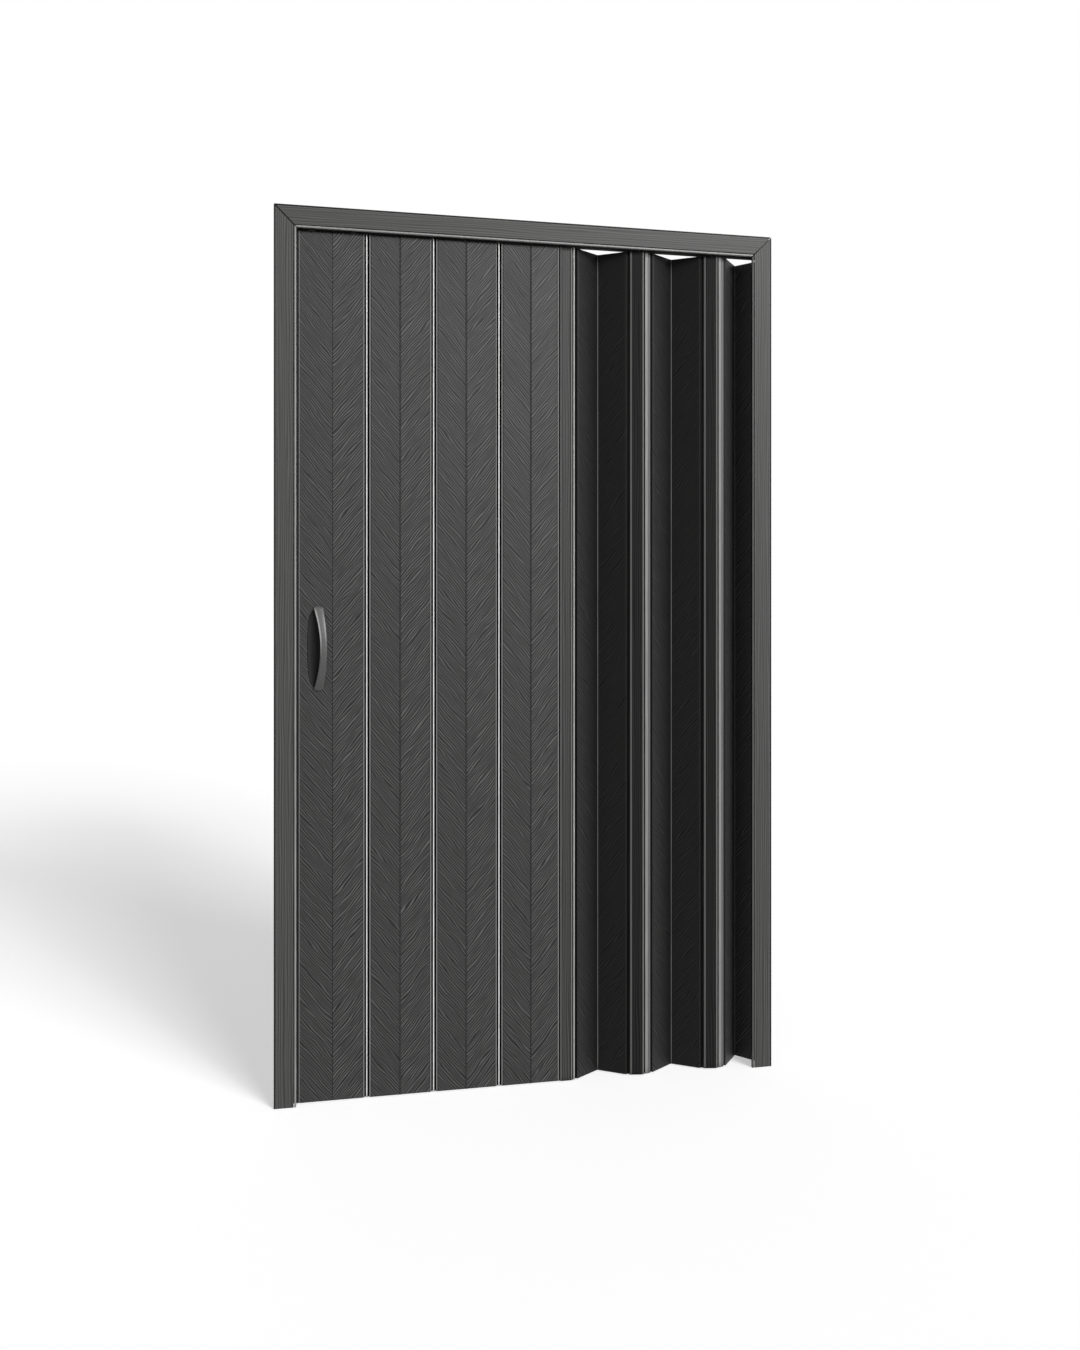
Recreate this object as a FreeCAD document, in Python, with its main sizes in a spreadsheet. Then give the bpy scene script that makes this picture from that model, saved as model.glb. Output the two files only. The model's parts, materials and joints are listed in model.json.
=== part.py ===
"""Folding accordion door in a three-sided frame.

The origin is the middle of the header's top face. X runs along the track to the right, Y points to the
rear of the door and Z points up. The hinge axes of the ridges lie in the plane Y = 0, under the middle of
the track, and the door's fronts look towards -Y. Lengths are in millimetres and angles in degrees.
"""
import FreeCAD
import Part
import Sketcher
import math
import os

DRIVING_SIZES = [
    ("frame_height", 2050, "floor to the top of the header"),
    ("frame_face", 50, "width of the jamb and header fronts"),
    ("frame_wall", 3, "wall of the frame profiles"),
    ("frame_return", 7, "depth of the turned-in front edges"),
    ("rear_lip", 12, "rear lip of the right jamb"),
    ("mitre_gap", 0.2, "hairline at the mitred corners"),
    ("wall_hole", 4.5, "diameter of the holes for wall screws"),
    ("wall_hole_rear", 14.5, "wall holes behind the track line"),
    ("wall_hole_end", 125, "ends of a jamb to its first wall hole"),
    ("key_leg", 84, "leg length of a corner key"),
    ("key_width", 28, "width of a corner key's legs"),
    ("key_thickness", 2.5, "thickness of a corner key"),
    ("key_inset", 4, "corner key to the inside of the frame's walls"),
    ("track_width", 24, "outside width of the track"),
    ("track_height", 22, "outside height of the track"),
    ("track_wall", 2, "wall of the track"),
    ("track_slot", 8, "slot under the track"),
    ("track_side_room", 8, "track to the inside of the header"),
    ("track_end_gap", 1, "track ends to the jambs"),
    ("track_screw_shank", 4, "shank diameter of the track screws"),
    ("track_screw_head", 8, "head diameter of the track screws"),
    ("screw_head_height", 2, "head height of the small screws"),
    ("screw_play", 0.15, "play round a screw's shank"),
    ("track_screw_count", 4, "screws along the track"),
    ("track_screw_end", 60, "end of the track to its first screw"),
    ("stop_length", 10, "length of a track end stop"),
    ("stop_play", 0.2, "end stop to the track's sides"),
    ("glider_play", 1.5, "glider disc to the track's sides"),
    ("glider_lift", 0.3, "glider disc above the track's lips"),
    ("glider_disc", 5, "height of a glider's disc"),
    ("glider_pin_play", 1.5, "glider pin to the slot's sides"),
    ("glider_plate", 14, "length of the plate under a glider's pin"),
    ("glider_plate_height", 2, "height of that plate"),
    ("glider_tail", 20, "length of the pin inside a post"),
    ("glider_tail_width", 3.4, "diameter of the pin inside a post"),
    ("glider_tail_play", 0.1, "play round the pin inside a post"),
    ("leaf_pitch", 77.5, "ridge axis to valley axis along a leaf"),
    ("leaf_thickness", 7, "thickness of a leaf"),
    ("leaf_wall", 1.2, "walls and ribs of the hollow leaves"),
    ("leaf_cell_end", 6, "hinge axis to the first hollow cell"),
    ("top_gap", 2.5, "header to the tops of the leaves"),
    ("floor_gap", 2.5, "floor to the bottoms of the leaves"),
    ("ridge_bulb", 2, "radius of the hinge bulbs at the ridges"),
    ("valley_bulb", 1.25, "radius of the hinge beads in the valleys"),
    ("hinge_play", 0.05, "play round the hinge bulbs"),
    ("ridge_room", 3.5, "ridge axis to the leaf's front edge"),
    ("ear_room", 1, "ridge axis to the leaf's rear edge"),
    ("valley_room", 0.3, "valley axis to the leaf's end"),
    ("seam_nose_width", 4, "width of the light seam line"),
    ("seam_nose_depth", 1.6, "depth of the seam's nose"),
    ("seam_nose_room", 0.6, "seam nose to the leaf's step"),
    ("seam_web", 1.2, "web of the seam bead"),
    ("seam_proud", 0.5, "seam nose in front of the leaves"),
    ("closing_post_width", 30, "hinge axis to hinge axis of the closing post"),
    ("closing_lip", 6, "lip of the closing post over the flat bay"),
    ("closing_lip_thickness", 2, "thickness of that lip"),
    ("lip_play", 1, "leaf front to the back of that lip"),
    ("closing_nose", 4, "width of the closing post's light nose"),
    ("closing_nose_reach", 2.5, "reach of that nose past the post's edge"),
    ("stack_post_width", 52, "hinge axis to hinge axis of a stack post"),
    ("stack_roof", 5, "rise of a stack post's roof"),
    ("stack_nose_start", 30, "left hinge axis to a stack post's light nose"),
    ("nose_thickness", 3, "thickness of the light noses"),
    ("post_wall", 1.5, "wall of the posts round their cells"),
    ("post_boss", 4.5, "half width of the solid boss round a glider's pin"),
    ("fold_angle_5", 34, "fold angle of the leaves in bay 5 at rest"),
    ("fold_angle_6", 34, "fold angle of the leaves in bay 6 at rest"),
    ("fold_angle_7", 51, "fold angle of the leaves in bay 7 at rest"),
    ("fixed_base", 3, "base plate of the fixed hinge post"),
    ("fixed_base_half", 9, "half depth of that base plate"),
    ("fixed_neck", 3, "neck between that base plate and its hinge bulb"),
    ("fixed_neck_width", 2.4, "thickness of that neck"),
    ("fixed_screw_shank", 3, "shank diameter of the fixed post's screws"),
    ("fixed_screw_head", 5, "head diameter of the fixed post's screws"),
    ("fixed_screw_front", 5.5, "fixed post's screws in front of its axis"),
    ("fixed_screw_count", 4, "screws along the fixed post"),
    ("fixed_screw_end", 100, "ends of the fixed post to its first screw"),
    ("lead_panel_width", 155, "seam axis to the lead panel's closing edge"),
    ("edge_show", 4, "closing profile that shows beside the jamb"),
    ("strike_thickness", 2, "thickness of the strike strip"),
    ("strike_width", 16, "width of the strike strip"),
    ("closing_gap", 5, "strike strip to the magnet of the closed door"),
    ("magnet_thickness", 3, "thickness of the magnet strip"),
    ("lead_glider_end", 30, "lead panel's ends to its gliders"),
    ("handle_height", 1041, "floor to the middle of the handle"),
    ("handle_inset", 38, "closing edge to the middle of the handle's cup"),
    ("cup_half_width", 16, "half width of the oval cup"),
    ("cup_half_height", 86, "half height of the oval cup"),
    ("cup_rim", 1.5, "width of the cup's rim"),
    ("cup_rim_thickness", 0.6, "thickness of the cup's rim"),
    ("cup_floor", 0.8, "floor of the cup"),
    ("cup_play", 0.2, "cup to the panel and to the cup behind"),
    ("grip_foot_gap", 1.5, "cup's rim to the feet of the grip"),
    ("grip_width", 18, "width of the grip"),
    ("grip_thickness", 4.5, "thickness of the grip's bow"),
    ("grip_rise", 24, "rise of the bow above the panel"),
    ("grip_bulge", 14, "sideways bulge of the bow"),
    ("grip_foot", 9, "length of the grip's feet"),
    ("grip_foot_height", 5, "height of the grip's feet"),
    ("grip_inset", 5, "cup middle to the left edge of the grip's feet"),
    ("handle_screw", 3.5, "shank diameter of the handle screws"),
    ("handle_screw_bite", 3.5, "depth of the handle screws in the front grip"),
]

WALL_HOLES = 4
LEAF_CELLS = 3
PANEL_CELLS = 6
CUT_MARGIN = 1

doc = FreeCAD.newDocument("accordion_door")
sheet = doc.addObject("Spreadsheet::Sheet", "Sizes")
sub_parts = []


class Size:
    """A number together with the sheet formula that gives it, so that one line sets both."""

    def __init__(self, value, formula):
        self.value = value
        self.formula = formula

    def __add__(self, other):
        other = as_size(other)
        return Size(self.value + other.value, f"({self.formula} + {other.formula})")

    def __sub__(self, other):
        other = as_size(other)
        return Size(self.value - other.value, f"({self.formula} - {other.formula})")

    def __mul__(self, other):
        other = as_size(other)
        return Size(self.value * other.value, f"({self.formula} * {other.formula})")

    def __truediv__(self, other):
        other = as_size(other)
        return Size(self.value / other.value, f"({self.formula} / {other.formula})")

    def __neg__(self):
        return Size(-self.value, f"(-{self.formula})")

    def __radd__(self, other):
        return as_size(other) + self

    def __rsub__(self, other):
        return as_size(other) - self

    def __rmul__(self, other):
        return as_size(other) * self


def as_size(number):
    """Return the number as a Size, and a Size as it is."""
    if isinstance(number, Size):
        return number
    return Size(float(number), f"({float(number)})")


def cosine(angle):
    """Cosine of an angle in degrees."""
    return Size(math.cos(math.radians(angle.value)), f"cos({angle.formula} * 1 deg)")


def sine(angle):
    """Sine of an angle in degrees."""
    return Size(math.sin(math.radians(angle.value)), f"sin({angle.formula} * 1 deg)")


class Dimensions:
    """The driving sizes, each a Size under its own name."""


def fill_sheet():
    """Write the driving sizes into the sheet and return them by name."""
    named = Dimensions()
    for row, (alias, value, meaning) in enumerate(DRIVING_SIZES, start=1):
        sheet.set(f"A{row}", alias)
        sheet.set(f"B{row}", str(value))
        sheet.set(f"C{row}", meaning)
        sheet.setAlias(f"B{row}", alias)
        setattr(named, alias, Size(float(value), f"Sizes.{alias}"))
    doc.recompute()
    return named


d = fill_sheet()


def number(length):
    """Plain value of a Size or a number."""
    return as_size(length).value


def at(x, y, z):
    """Point from three lengths."""
    return FreeCAD.Vector(number(x), number(y), number(z))


def turn_z(angle):
    """Rotation about the upright axis."""
    return FreeCAD.Rotation(FreeCAD.Vector(0, 0, 1), number(angle))


def axes_turn(x_axis, y_axis, z_axis):
    """Rotation that brings the coordinate axes to the given directions."""
    vector = FreeCAD.Vector
    return FreeCAD.Rotation(vector(*x_axis), vector(*y_axis), vector(*z_axis), "ZXY")


def new_body(label):
    """New body that is one sub-part."""
    body = doc.addObject("PartDesign::Body", label)
    body.Label = label
    sub_parts.append(body)
    return body


def new_sketch(body, role, name):
    """New sketch on one of the body's own origin planes."""
    planes = [feature for feature in body.Origin.OriginFeatures if feature.Role == role]
    sketch = body.newObject("Sketcher::SketchObject", f"{body.Label}_{name}")
    sketch.AttachmentSupport = [(planes[0], "")]
    sketch.MapMode = "FlatFace"
    return sketch


def bind_point(sketch, geometry, position, x, y):
    """Hold a point of the sketch at two lengths from the sketch's origin."""
    for kind, axis, length in (("DistanceX", -2, as_size(x)), ("DistanceY", -1, as_size(y))):
        if length.value == 0:
            sketch.addConstraint(Sketcher.Constraint("PointOnObject", geometry, position, axis))
        else:
            index = sketch.addConstraint(Sketcher.Constraint(kind, -1, 1, geometry, position, length.value))
            sketch.setExpression(f"Constraints[{index}]", length.formula)


def add_polygon(sketch, points):
    """Closed outline of straight lines through the points."""
    first = sketch.GeometryCount
    count = len(points)
    for start, end in zip(points, points[1:] + points[:1]):
        sketch.addGeometry(Part.LineSegment(at(*start, 0), at(*end, 0)), False)
    for index in range(count):
        following = first + (index + 1) % count
        sketch.addConstraint(Sketcher.Constraint("Coincident", first + index, 2, following, 1))
    for index, (x, y) in enumerate(points):
        bind_point(sketch, first + index, 1, x, y)


def add_circle(sketch, x, y, radius):
    """Circle round a point."""
    geometry = sketch.addGeometry(Part.Circle(at(x, y, 0), FreeCAD.Vector(0, 0, 1), number(radius)), False)
    bind_point(sketch, geometry, 3, x, y)
    index = sketch.addConstraint(Sketcher.Constraint("Radius", geometry, number(radius)))
    sketch.setExpression(f"Constraints[{index}]", as_size(radius).formula)


def rectangle(x_low, y_low, x_high, y_high):
    """Corners of an upright rectangle."""
    return [(x_low, y_low), (x_high, y_low), (x_high, y_high), (x_low, y_high)]


def pad_profile(body, role, outlines, length, name="profile"):
    """Solid of the length over the outlines."""
    sketch = new_sketch(body, role, name)
    for points in outlines:
        add_polygon(sketch, points)
    return pad_sketch(body, sketch, length, name)


def pad_sketch(body, sketch, length, name):
    """Solid of the length over a finished sketch."""
    pad = body.newObject("PartDesign::Pad", f"{body.Label}_{name}_pad")
    pad.Profile = sketch
    pad.setExpression("Length", as_size(length).formula)
    doc.recompute()
    return pad


def cut_sketch(body, sketch, name):
    """Cut the sketch through the whole body, both ways, and check that it took something away."""
    before = body.Shape.Volume
    pocket = body.newObject("PartDesign::Pocket", f"{body.Label}_{name}_cut")
    pocket.Profile = sketch
    pocket.Type = "ThroughAll"
    pocket.SideType = "Symmetric"
    doc.recompute()
    if not body.Shape.Volume < before:
        raise RuntimeError(f"{body.Label}: {name} cuts nothing")


def cut_circles(body, role, circles, name):
    """Cut round holes, each given as x, y and radius."""
    sketch = new_sketch(body, role, name)
    for x, y, radius in circles:
        add_circle(sketch, x, y, radius)
    cut_sketch(body, sketch, name)


def cut_polygons(body, role, outlines, name):
    """Cut straight-sided holes."""
    sketch = new_sketch(body, role, name)
    for points in outlines:
        add_polygon(sketch, points)
    cut_sketch(body, sketch, name)


def put(piece, x, y, z, angle=0):
    """Set a sub-part in its place."""
    piece.Placement = FreeCAD.Placement(at(x, y, z), turn_z(angle))


def cylinder(label, radius, height, place, direction=(0, 0, 1)):
    """Round bar from a point along a direction."""
    bar = doc.addObject("Part::Cylinder", label)
    bar.setExpression("Radius", as_size(radius).formula)
    bar.setExpression("Height", as_size(height).formula)
    turn = FreeCAD.Rotation(FreeCAD.Vector(0, 0, 1), FreeCAD.Vector(*direction))
    bar.Placement = FreeCAD.Placement(at(*place), turn)
    return bar


def fuse(label, pieces):
    """One solid out of several."""
    joined = doc.addObject("Part::MultiFuse", label)
    joined.Shapes = pieces
    joined.Label = label
    return joined


def group(label, pieces):
    """Several like pieces under one name."""
    gathered = doc.addObject("Part::Compound", label)
    gathered.Links = pieces
    gathered.Label = label
    sub_parts.append(gathered)
    return gathered


def span(fold):
    """Ridge to ridge over a bay whose leaves stand at the fold angle."""
    return 2 * (d.leaf_pitch * cosine(fold) + d.leaf_thickness * sine(fold))


FLAT = as_size(0)
FOLDS = {2: FLAT, 3: FLAT, 4: FLAT, 5: d.fold_angle_5, 6: d.fold_angle_6, 7: d.fold_angle_7}

frame_depth = d.track_width + 2 * (d.frame_wall + d.track_side_room)
leaf_height = d.frame_height - d.frame_face - d.top_gap - d.floor_gap
leaf_low = d.floor_gap - d.frame_height
leaf_top = -(d.frame_face + d.top_gap)
fixed_axis_inset = d.frame_wall + d.fixed_base + d.fixed_neck + d.ridge_bulb
flat_length = d.frame_face + d.edge_show + d.lead_panel_width + 6 * d.leaf_pitch
stack_length = span(d.fold_angle_5) + span(d.fold_angle_6) + span(d.fold_angle_7)
posts_length = d.closing_post_width + 2 * d.stack_post_width
frame_width = flat_length + posts_length + stack_length + fixed_axis_inset
left_face = -frame_width / 2
right_face = frame_width / 2

# Upright hinge axes of the ridges, from the closing edge to the fixed post.
seam_1 = left_face + d.frame_face + d.edge_show + d.lead_panel_width
seam_2 = seam_1 + 2 * d.leaf_pitch
seam_3 = seam_2 + 2 * d.leaf_pitch
closing_left = seam_3 + 2 * d.leaf_pitch
closing_right = closing_left + d.closing_post_width
stack_1_left = closing_right + span(d.fold_angle_5)
stack_1_right = stack_1_left + d.stack_post_width
stack_2_left = stack_1_right + span(d.fold_angle_6)
stack_2_right = stack_2_left + d.stack_post_width
fixed_axis = right_face - fixed_axis_inset

# Ridge axes at the left and the right end of each bay.
BAYS = {
    2: (seam_1, seam_2),
    3: (seam_2, seam_3),
    4: (seam_3, closing_left),
    5: (closing_right, stack_1_left),
    6: (stack_1_right, stack_2_left),
    7: (stack_2_right, fixed_axis),
}


def jamb_section(side, rear_face):
    """Channel open towards the doorway, from the wall at x = 0, with a turned-in front edge."""
    face = d.frame_face
    wall = d.frame_wall
    front = -frame_depth / 2
    rear = frame_depth / 2
    points = [
        (0, front),
        (face, front),
        (face, front + d.frame_return),
        (face - wall, front + d.frame_return),
        (face - wall, front + wall),
        (wall, front + wall),
        (wall, rear - wall),
        (rear_face, rear - wall),
        (rear_face, rear),
        (0, rear),
    ]
    return [(side * x, y) for x, y in points]


def make_jamb(label, side, rear_face):
    """Jamb profile with its mitred top and its holes for wall screws."""
    body = new_body(label)
    pad_profile(body, "XY_Plane", [jamb_section(side, rear_face)], d.frame_height)
    start = d.frame_height - d.mitre_gap
    over = d.frame_face + CUT_MARGIN
    mitre = [
        (-side * CUT_MARGIN, start + CUT_MARGIN),
        (side * over, start + CUT_MARGIN),
        (side * over, start - over),
    ]
    cut_polygons(body, "XZ_Plane", [mitre], "mitre")
    step = (d.frame_height - 2 * d.wall_hole_end) / (WALL_HOLES - 1)
    heights = [d.wall_hole_end + index * step for index in range(WALL_HOLES)]
    cut_circles(body, "YZ_Plane", [(d.wall_hole_rear, z, d.wall_hole / 2) for z in heights], "wall_holes")
    put(body, left_face if side > 0 else right_face, 0, -d.frame_height)


def track_screw_places():
    """Distances of the track screws from the left outer face."""
    first = d.frame_wall + d.track_end_gap + d.track_screw_end
    step = (frame_width - 2 * first) / (d.track_screw_count - 1)
    return [first + index * step for index in range(int(d.track_screw_count.value))]


def make_header():
    """Header profile, open below, mitred at both ends, with the holes of the track screws."""
    body = new_body("header")
    face = d.frame_face
    wall = d.frame_wall
    front = -frame_depth / 2
    rear = frame_depth / 2
    section = [
        (front, 0),
        (front, -face),
        (front + d.frame_return, -face),
        (front + d.frame_return, wall - face),
        (front + wall, wall - face),
        (front + wall, -wall),
        (rear - wall, -wall),
        (rear - wall, -face),
        (rear, -face),
        (rear, 0),
    ]
    pad_profile(body, "YZ_Plane", [section], frame_width)
    over = face + CUT_MARGIN
    left_mitre = [(-CUT_MARGIN, CUT_MARGIN), (over, -over), (-CUT_MARGIN, -over)]
    right_mitre = [(frame_width - x, z) for x, z in left_mitre]
    cut_polygons(body, "XZ_Plane", [left_mitre, right_mitre], "mitres")
    radius = d.track_screw_shank / 2 + d.screw_play
    cut_circles(body, "XY_Plane", [(x, 0, radius) for x in track_screw_places()], "screw_holes")
    put(body, left_face, 0, 0)


def make_corner_keys():
    """Flat angle keys that hold the mitred corners from behind the fronts."""
    keys = []
    inset = d.frame_wall + d.key_inset
    rear = frame_depth / 2 - d.frame_wall - d.key_thickness
    for name, side, edge in (("left", 1, left_face), ("right", -1, right_face)):
        body = doc.addObject("PartDesign::Body", f"corner_key_{name}")
        outline = [
            (inset, -inset),
            (inset + d.key_leg, -inset),
            (inset + d.key_leg, -(inset + d.key_width)),
            (inset + d.key_width, -(inset + d.key_width)),
            (inset + d.key_width, -(inset + d.key_leg)),
            (inset, -(inset + d.key_leg)),
        ]
        pad_profile(body, "XZ_Plane", [[(side * x, z) for x, z in outline]], d.key_thickness)
        put(body, edge, -rear, 0)
        keys.append(body)
    group("corner_keys", keys)


def make_track():
    """Aluminium C track, slotted below, with holes for its screws."""
    body = new_body("top_track")
    half = d.track_width / 2
    slot = d.track_slot / 2
    wall = d.track_wall
    low = -d.track_height
    section = [
        (-half, 0),
        (-half, low),
        (-slot, low),
        (-slot, low + wall),
        (wall - half, low + wall),
        (wall - half, -wall),
        (half - wall, -wall),
        (half - wall, low + wall),
        (slot, low + wall),
        (slot, low),
        (half, low),
        (half, 0),
    ]
    start = d.frame_wall + d.track_end_gap
    pad_profile(body, "YZ_Plane", [section], frame_width - 2 * start)
    radius = d.track_screw_shank / 2 + d.screw_play
    holes = [(x - start, 0, radius) for x in track_screw_places()]
    cut_circles(body, "XY_Plane", holes, "screw_holes")
    put(body, left_face + start, 0, -d.frame_wall)


def make_track_screws():
    """Pan-head screws that hold the track up to the header."""
    screws = []
    seat = -(d.frame_wall + d.track_wall)
    for index, x in enumerate(track_screw_places(), start=1):
        place = left_face + x
        head = cylinder(f"track_screw_head_{index}", d.track_screw_head / 2, d.screw_head_height,
                        (place, 0, seat - d.screw_head_height))
        shank = cylinder(f"track_screw_shank_{index}", d.track_screw_shank / 2,
                         d.frame_wall + d.track_wall, (place, 0, seat))
        screws.append(fuse(f"track_screw_{index}", [head, shank]))
    group("track_screws", screws)


def make_end_stops():
    """Blocks that close the ends of the track and stop the gliders."""
    stops = []
    inside = d.track_width / 2 - d.track_wall - d.stop_play
    seat = -(d.frame_wall + d.track_height) + d.track_wall
    height = d.track_height - 2 * d.track_wall - d.stop_play
    start = d.frame_wall + d.track_end_gap
    for name, edge in (("left", left_face + start), ("right", right_face - start - d.stop_length)):
        body = doc.addObject("PartDesign::Body", f"track_end_stop_{name}")
        pad_profile(body, "XY_Plane", [rectangle(0, -inside, d.stop_length, inside)], height)
        put(body, edge, 0, seat)
        stops.append(body)
    group("track_end_stops", stops)


def make_strike():
    """Steel strip inside the left jamb that the magnet closes on."""
    body = new_body("strike_strip")
    half = d.strike_width / 2
    pad_profile(body, "XY_Plane", [rectangle(0, -half, d.strike_thickness, half)], leaf_height)
    put(body, left_face + d.frame_wall, 0, leaf_low)


def fixed_screw_heights():
    """Heights of the fixed post's screws above its lower end."""
    gaps = d.fixed_screw_count - 1
    step = (leaf_height - 2 * d.fixed_screw_end) / gaps
    return [d.fixed_screw_end + index * step for index in range(int(d.fixed_screw_count.value))]


def make_fixed_post():
    """Hinge profile inside the right jamb: a base plate, a neck and the bulb the last leaf turns on."""
    body = new_body("fixed_hinge_post")
    base = d.fixed_neck + d.ridge_bulb
    half = d.fixed_base_half
    neck = d.fixed_neck_width / 2
    section = [
        (0, neck),
        (0, -neck),
        (base, -neck),
        (base, -half),
        (base + d.fixed_base, -half),
        (base + d.fixed_base, half),
        (base, half),
        (base, neck),
    ]
    pad_profile(body, "XY_Plane", [section], leaf_height)
    add_bulbs(body, [0])
    radius = d.fixed_screw_shank / 2 + d.screw_play
    holes = [(-d.fixed_screw_front, height, radius) for height in fixed_screw_heights()]
    cut_circles(body, "YZ_Plane", holes, "screw_holes")
    put(body, fixed_axis, 0, leaf_low)


def make_fixed_post_screws():
    """Screws that hold the fixed hinge post to the right jamb."""
    screws = []
    seat = right_face - d.frame_wall - d.fixed_base
    for index, height in enumerate(fixed_screw_heights(), start=1):
        head = cylinder(f"fixed_screw_head_{index}", d.fixed_screw_head / 2, d.screw_head_height,
                        (seat - d.screw_head_height, -d.fixed_screw_front, leaf_low + height), (1, 0, 0))
        shank = cylinder(f"fixed_screw_shank_{index}", d.fixed_screw_shank / 2, d.fixed_base,
                         (seat, -d.fixed_screw_front, leaf_low + height), (1, 0, 0))
        screws.append(fuse(f"fixed_post_screw_{index}", [head, shank]))
    group("fixed_post_screws", screws)


def add_bulbs(body, places):
    """Round hinge bulbs along the upright axes at the given distances."""
    sketch = new_sketch(body, "XY_Plane", "bulbs")
    for x in places:
        add_circle(sketch, x, 0, d.ridge_bulb)
    pad_sketch(body, sketch, leaf_height, "bulbs")


def ridge_step():
    """Depth of the step at a leaf's ridge end that leaves room for the seam's nose."""
    return d.seam_nose_depth - d.seam_proud + d.seam_nose_room


def cells(start, end, count):
    """Hollow cells in a row between two distances, with a rib between neighbours."""
    rib = d.leaf_wall
    width = (end - start - (count - 1) * rib) / count
    low = d.leaf_wall - d.leaf_thickness
    found = []
    for index in range(count):
        left = start + index * (width + rib)
        found.append(rectangle(left, low, left + width, -d.leaf_wall))
    return found


def mirrored(outlines, side):
    """Outlines on the right of the axis for side 1, on its left for side -1."""
    return [[(side * x, y) for x, y in points] for points in outlines]


def make_leaf(bay, name, side):
    """Hollow leaf from its ridge axis at x = 0, y = 0 to its valley axis in the plane of its front."""
    body = new_body(f"leaf_{bay}_{name}")
    front = -d.leaf_thickness
    end = d.leaf_pitch - d.valley_room
    step = front + ridge_step()
    section = [
        (d.ridge_room, front),
        (end, front),
        (end, 0),
        (d.ear_room, 0),
        (d.ear_room, step),
        (d.ridge_room, step),
    ]
    pad_profile(body, "XY_Plane", mirrored([section], side), leaf_height)
    hollow = cells(d.leaf_cell_end, d.leaf_pitch - d.leaf_cell_end, LEAF_CELLS)
    cut_polygons(body, "XY_Plane", mirrored(hollow, side), "cells")
    notches = [
        (0, 0, d.ridge_bulb + d.hinge_play),
        (side * d.leaf_pitch, front, d.valley_bulb + d.hinge_play),
    ]
    cut_circles(body, "XY_Plane", notches, "hinge_notches")
    axis = BAYS[bay][0] if side > 0 else BAYS[bay][1]
    put(body, axis, 0, leaf_low, side * FOLDS[bay])


def make_valley_bead(bay):
    """Soft round bead in the valley between the two leaves of a bay."""
    fold = FOLDS[bay]
    middle = BAYS[bay][0] + span(fold) / 2
    depth = d.leaf_pitch * sine(fold) - d.leaf_thickness * cosine(fold)
    bead = cylinder(f"valley_bead_{bay}", d.valley_bulb, leaf_height, (middle, depth, leaf_low))
    sub_parts.append(bead)


def make_seam_bead(index, axis):
    """Soft hinge strip of a flat seam: a bulb on the axis, a web and a nose flush with the fronts."""
    body = new_body(f"seam_bead_{index}")
    nose = d.seam_nose_width / 2
    web = d.seam_web / 2
    front = -(d.leaf_thickness + d.seam_proud)
    section = [
        (-nose, front),
        (nose, front),
        (nose, front + d.seam_nose_depth),
        (web, front + d.seam_nose_depth),
        (web, 0),
        (-web, 0),
        (-web, front + d.seam_nose_depth),
        (-nose, front + d.seam_nose_depth),
    ]
    pad_profile(body, "XY_Plane", [section], leaf_height)
    add_bulbs(body, [0])
    put(body, axis, 0, leaf_low)


def post_cells(width, middle):
    """Two hollow cells of a post, one each side of the boss round the glider's pin."""
    low = d.post_wall - d.leaf_thickness
    high = -d.post_wall
    edge = d.leaf_cell_end
    return [
        rectangle(edge, low, middle - d.post_boss, high),
        rectangle(middle + d.post_boss, low, width - edge, high),
    ]


def finish_post(body, width, axis, hollow):
    """Give a post its cells, hinge bulbs and glider bore, and set it in its place."""
    cut_polygons(body, "XY_Plane", hollow, "cells")
    add_bulbs(body, [0, width])
    bore = d.glider_tail_width / 2 + d.glider_tail_play
    cut_circles(body, "XY_Plane", [(width / 2, -d.leaf_thickness / 2, bore)], "glider_bore")
    put(body, axis, 0, leaf_low)


def make_closing_post():
    """Plain post at the end of the flat bays, with a lip over the last flat leaf, and its narrow nose."""
    body = new_body("closing_post")
    width = d.closing_post_width
    lip_back = -(d.leaf_thickness + d.lip_play)
    front = lip_back - d.closing_lip_thickness
    edge = width - d.ridge_room
    nose_end = edge + d.closing_nose_reach
    seat = front + d.nose_thickness
    section = [
        (-d.closing_lip, front),
        (nose_end - d.closing_nose, front),
        (nose_end - d.closing_nose, seat),
        (edge, seat),
        (edge, 0),
        (d.ear_room, 0),
        (d.ear_room, lip_back),
        (-d.closing_lip, lip_back),
    ]
    neck = rectangle(edge - CUT_MARGIN, -d.ridge_bulb, width, 0)
    pad_profile(body, "XY_Plane", [section], leaf_height)
    pad_profile(body, "XY_Plane", [neck], leaf_height, "neck")
    middle = width / 2
    low = d.post_wall - d.leaf_thickness
    hollow = [rectangle(middle + d.post_boss, low, edge - d.post_wall, -d.post_wall)]
    finish_post(body, width, closing_left, hollow)
    nose = new_body("closing_post_nose")
    outline = rectangle(nose_end - d.closing_nose, front, nose_end, seat)
    pad_profile(nose, "XY_Plane", [outline], leaf_height)
    put(nose, closing_left, 0, leaf_low)


def make_stack_post(label, axis):
    """Roof-fronted post between two folded bays, and the light nose on its right slope."""
    body = new_body(label)
    width = d.stack_post_width
    front = -d.leaf_thickness
    ridge = front - d.stack_roof
    edge = width - d.ear_room
    seat_low = front + d.nose_thickness
    section = [
        (d.ear_room, front),
        (d.stack_nose_start, ridge),
        (d.stack_nose_start, ridge + d.nose_thickness),
        (edge, seat_low),
        (edge, 0),
        (d.ear_room, 0),
    ]
    pad_profile(body, "XY_Plane", [section], leaf_height)
    finish_post(body, width, axis, post_cells(width, width / 2))
    nose = new_body(f"{label}_nose")
    outline = [
        (d.stack_nose_start, ridge),
        (edge, front),
        (edge, seat_low),
        (d.stack_nose_start, ridge + d.nose_thickness),
    ]
    pad_profile(nose, "XY_Plane", [outline], leaf_height)
    put(nose, axis, 0, leaf_low)


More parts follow.
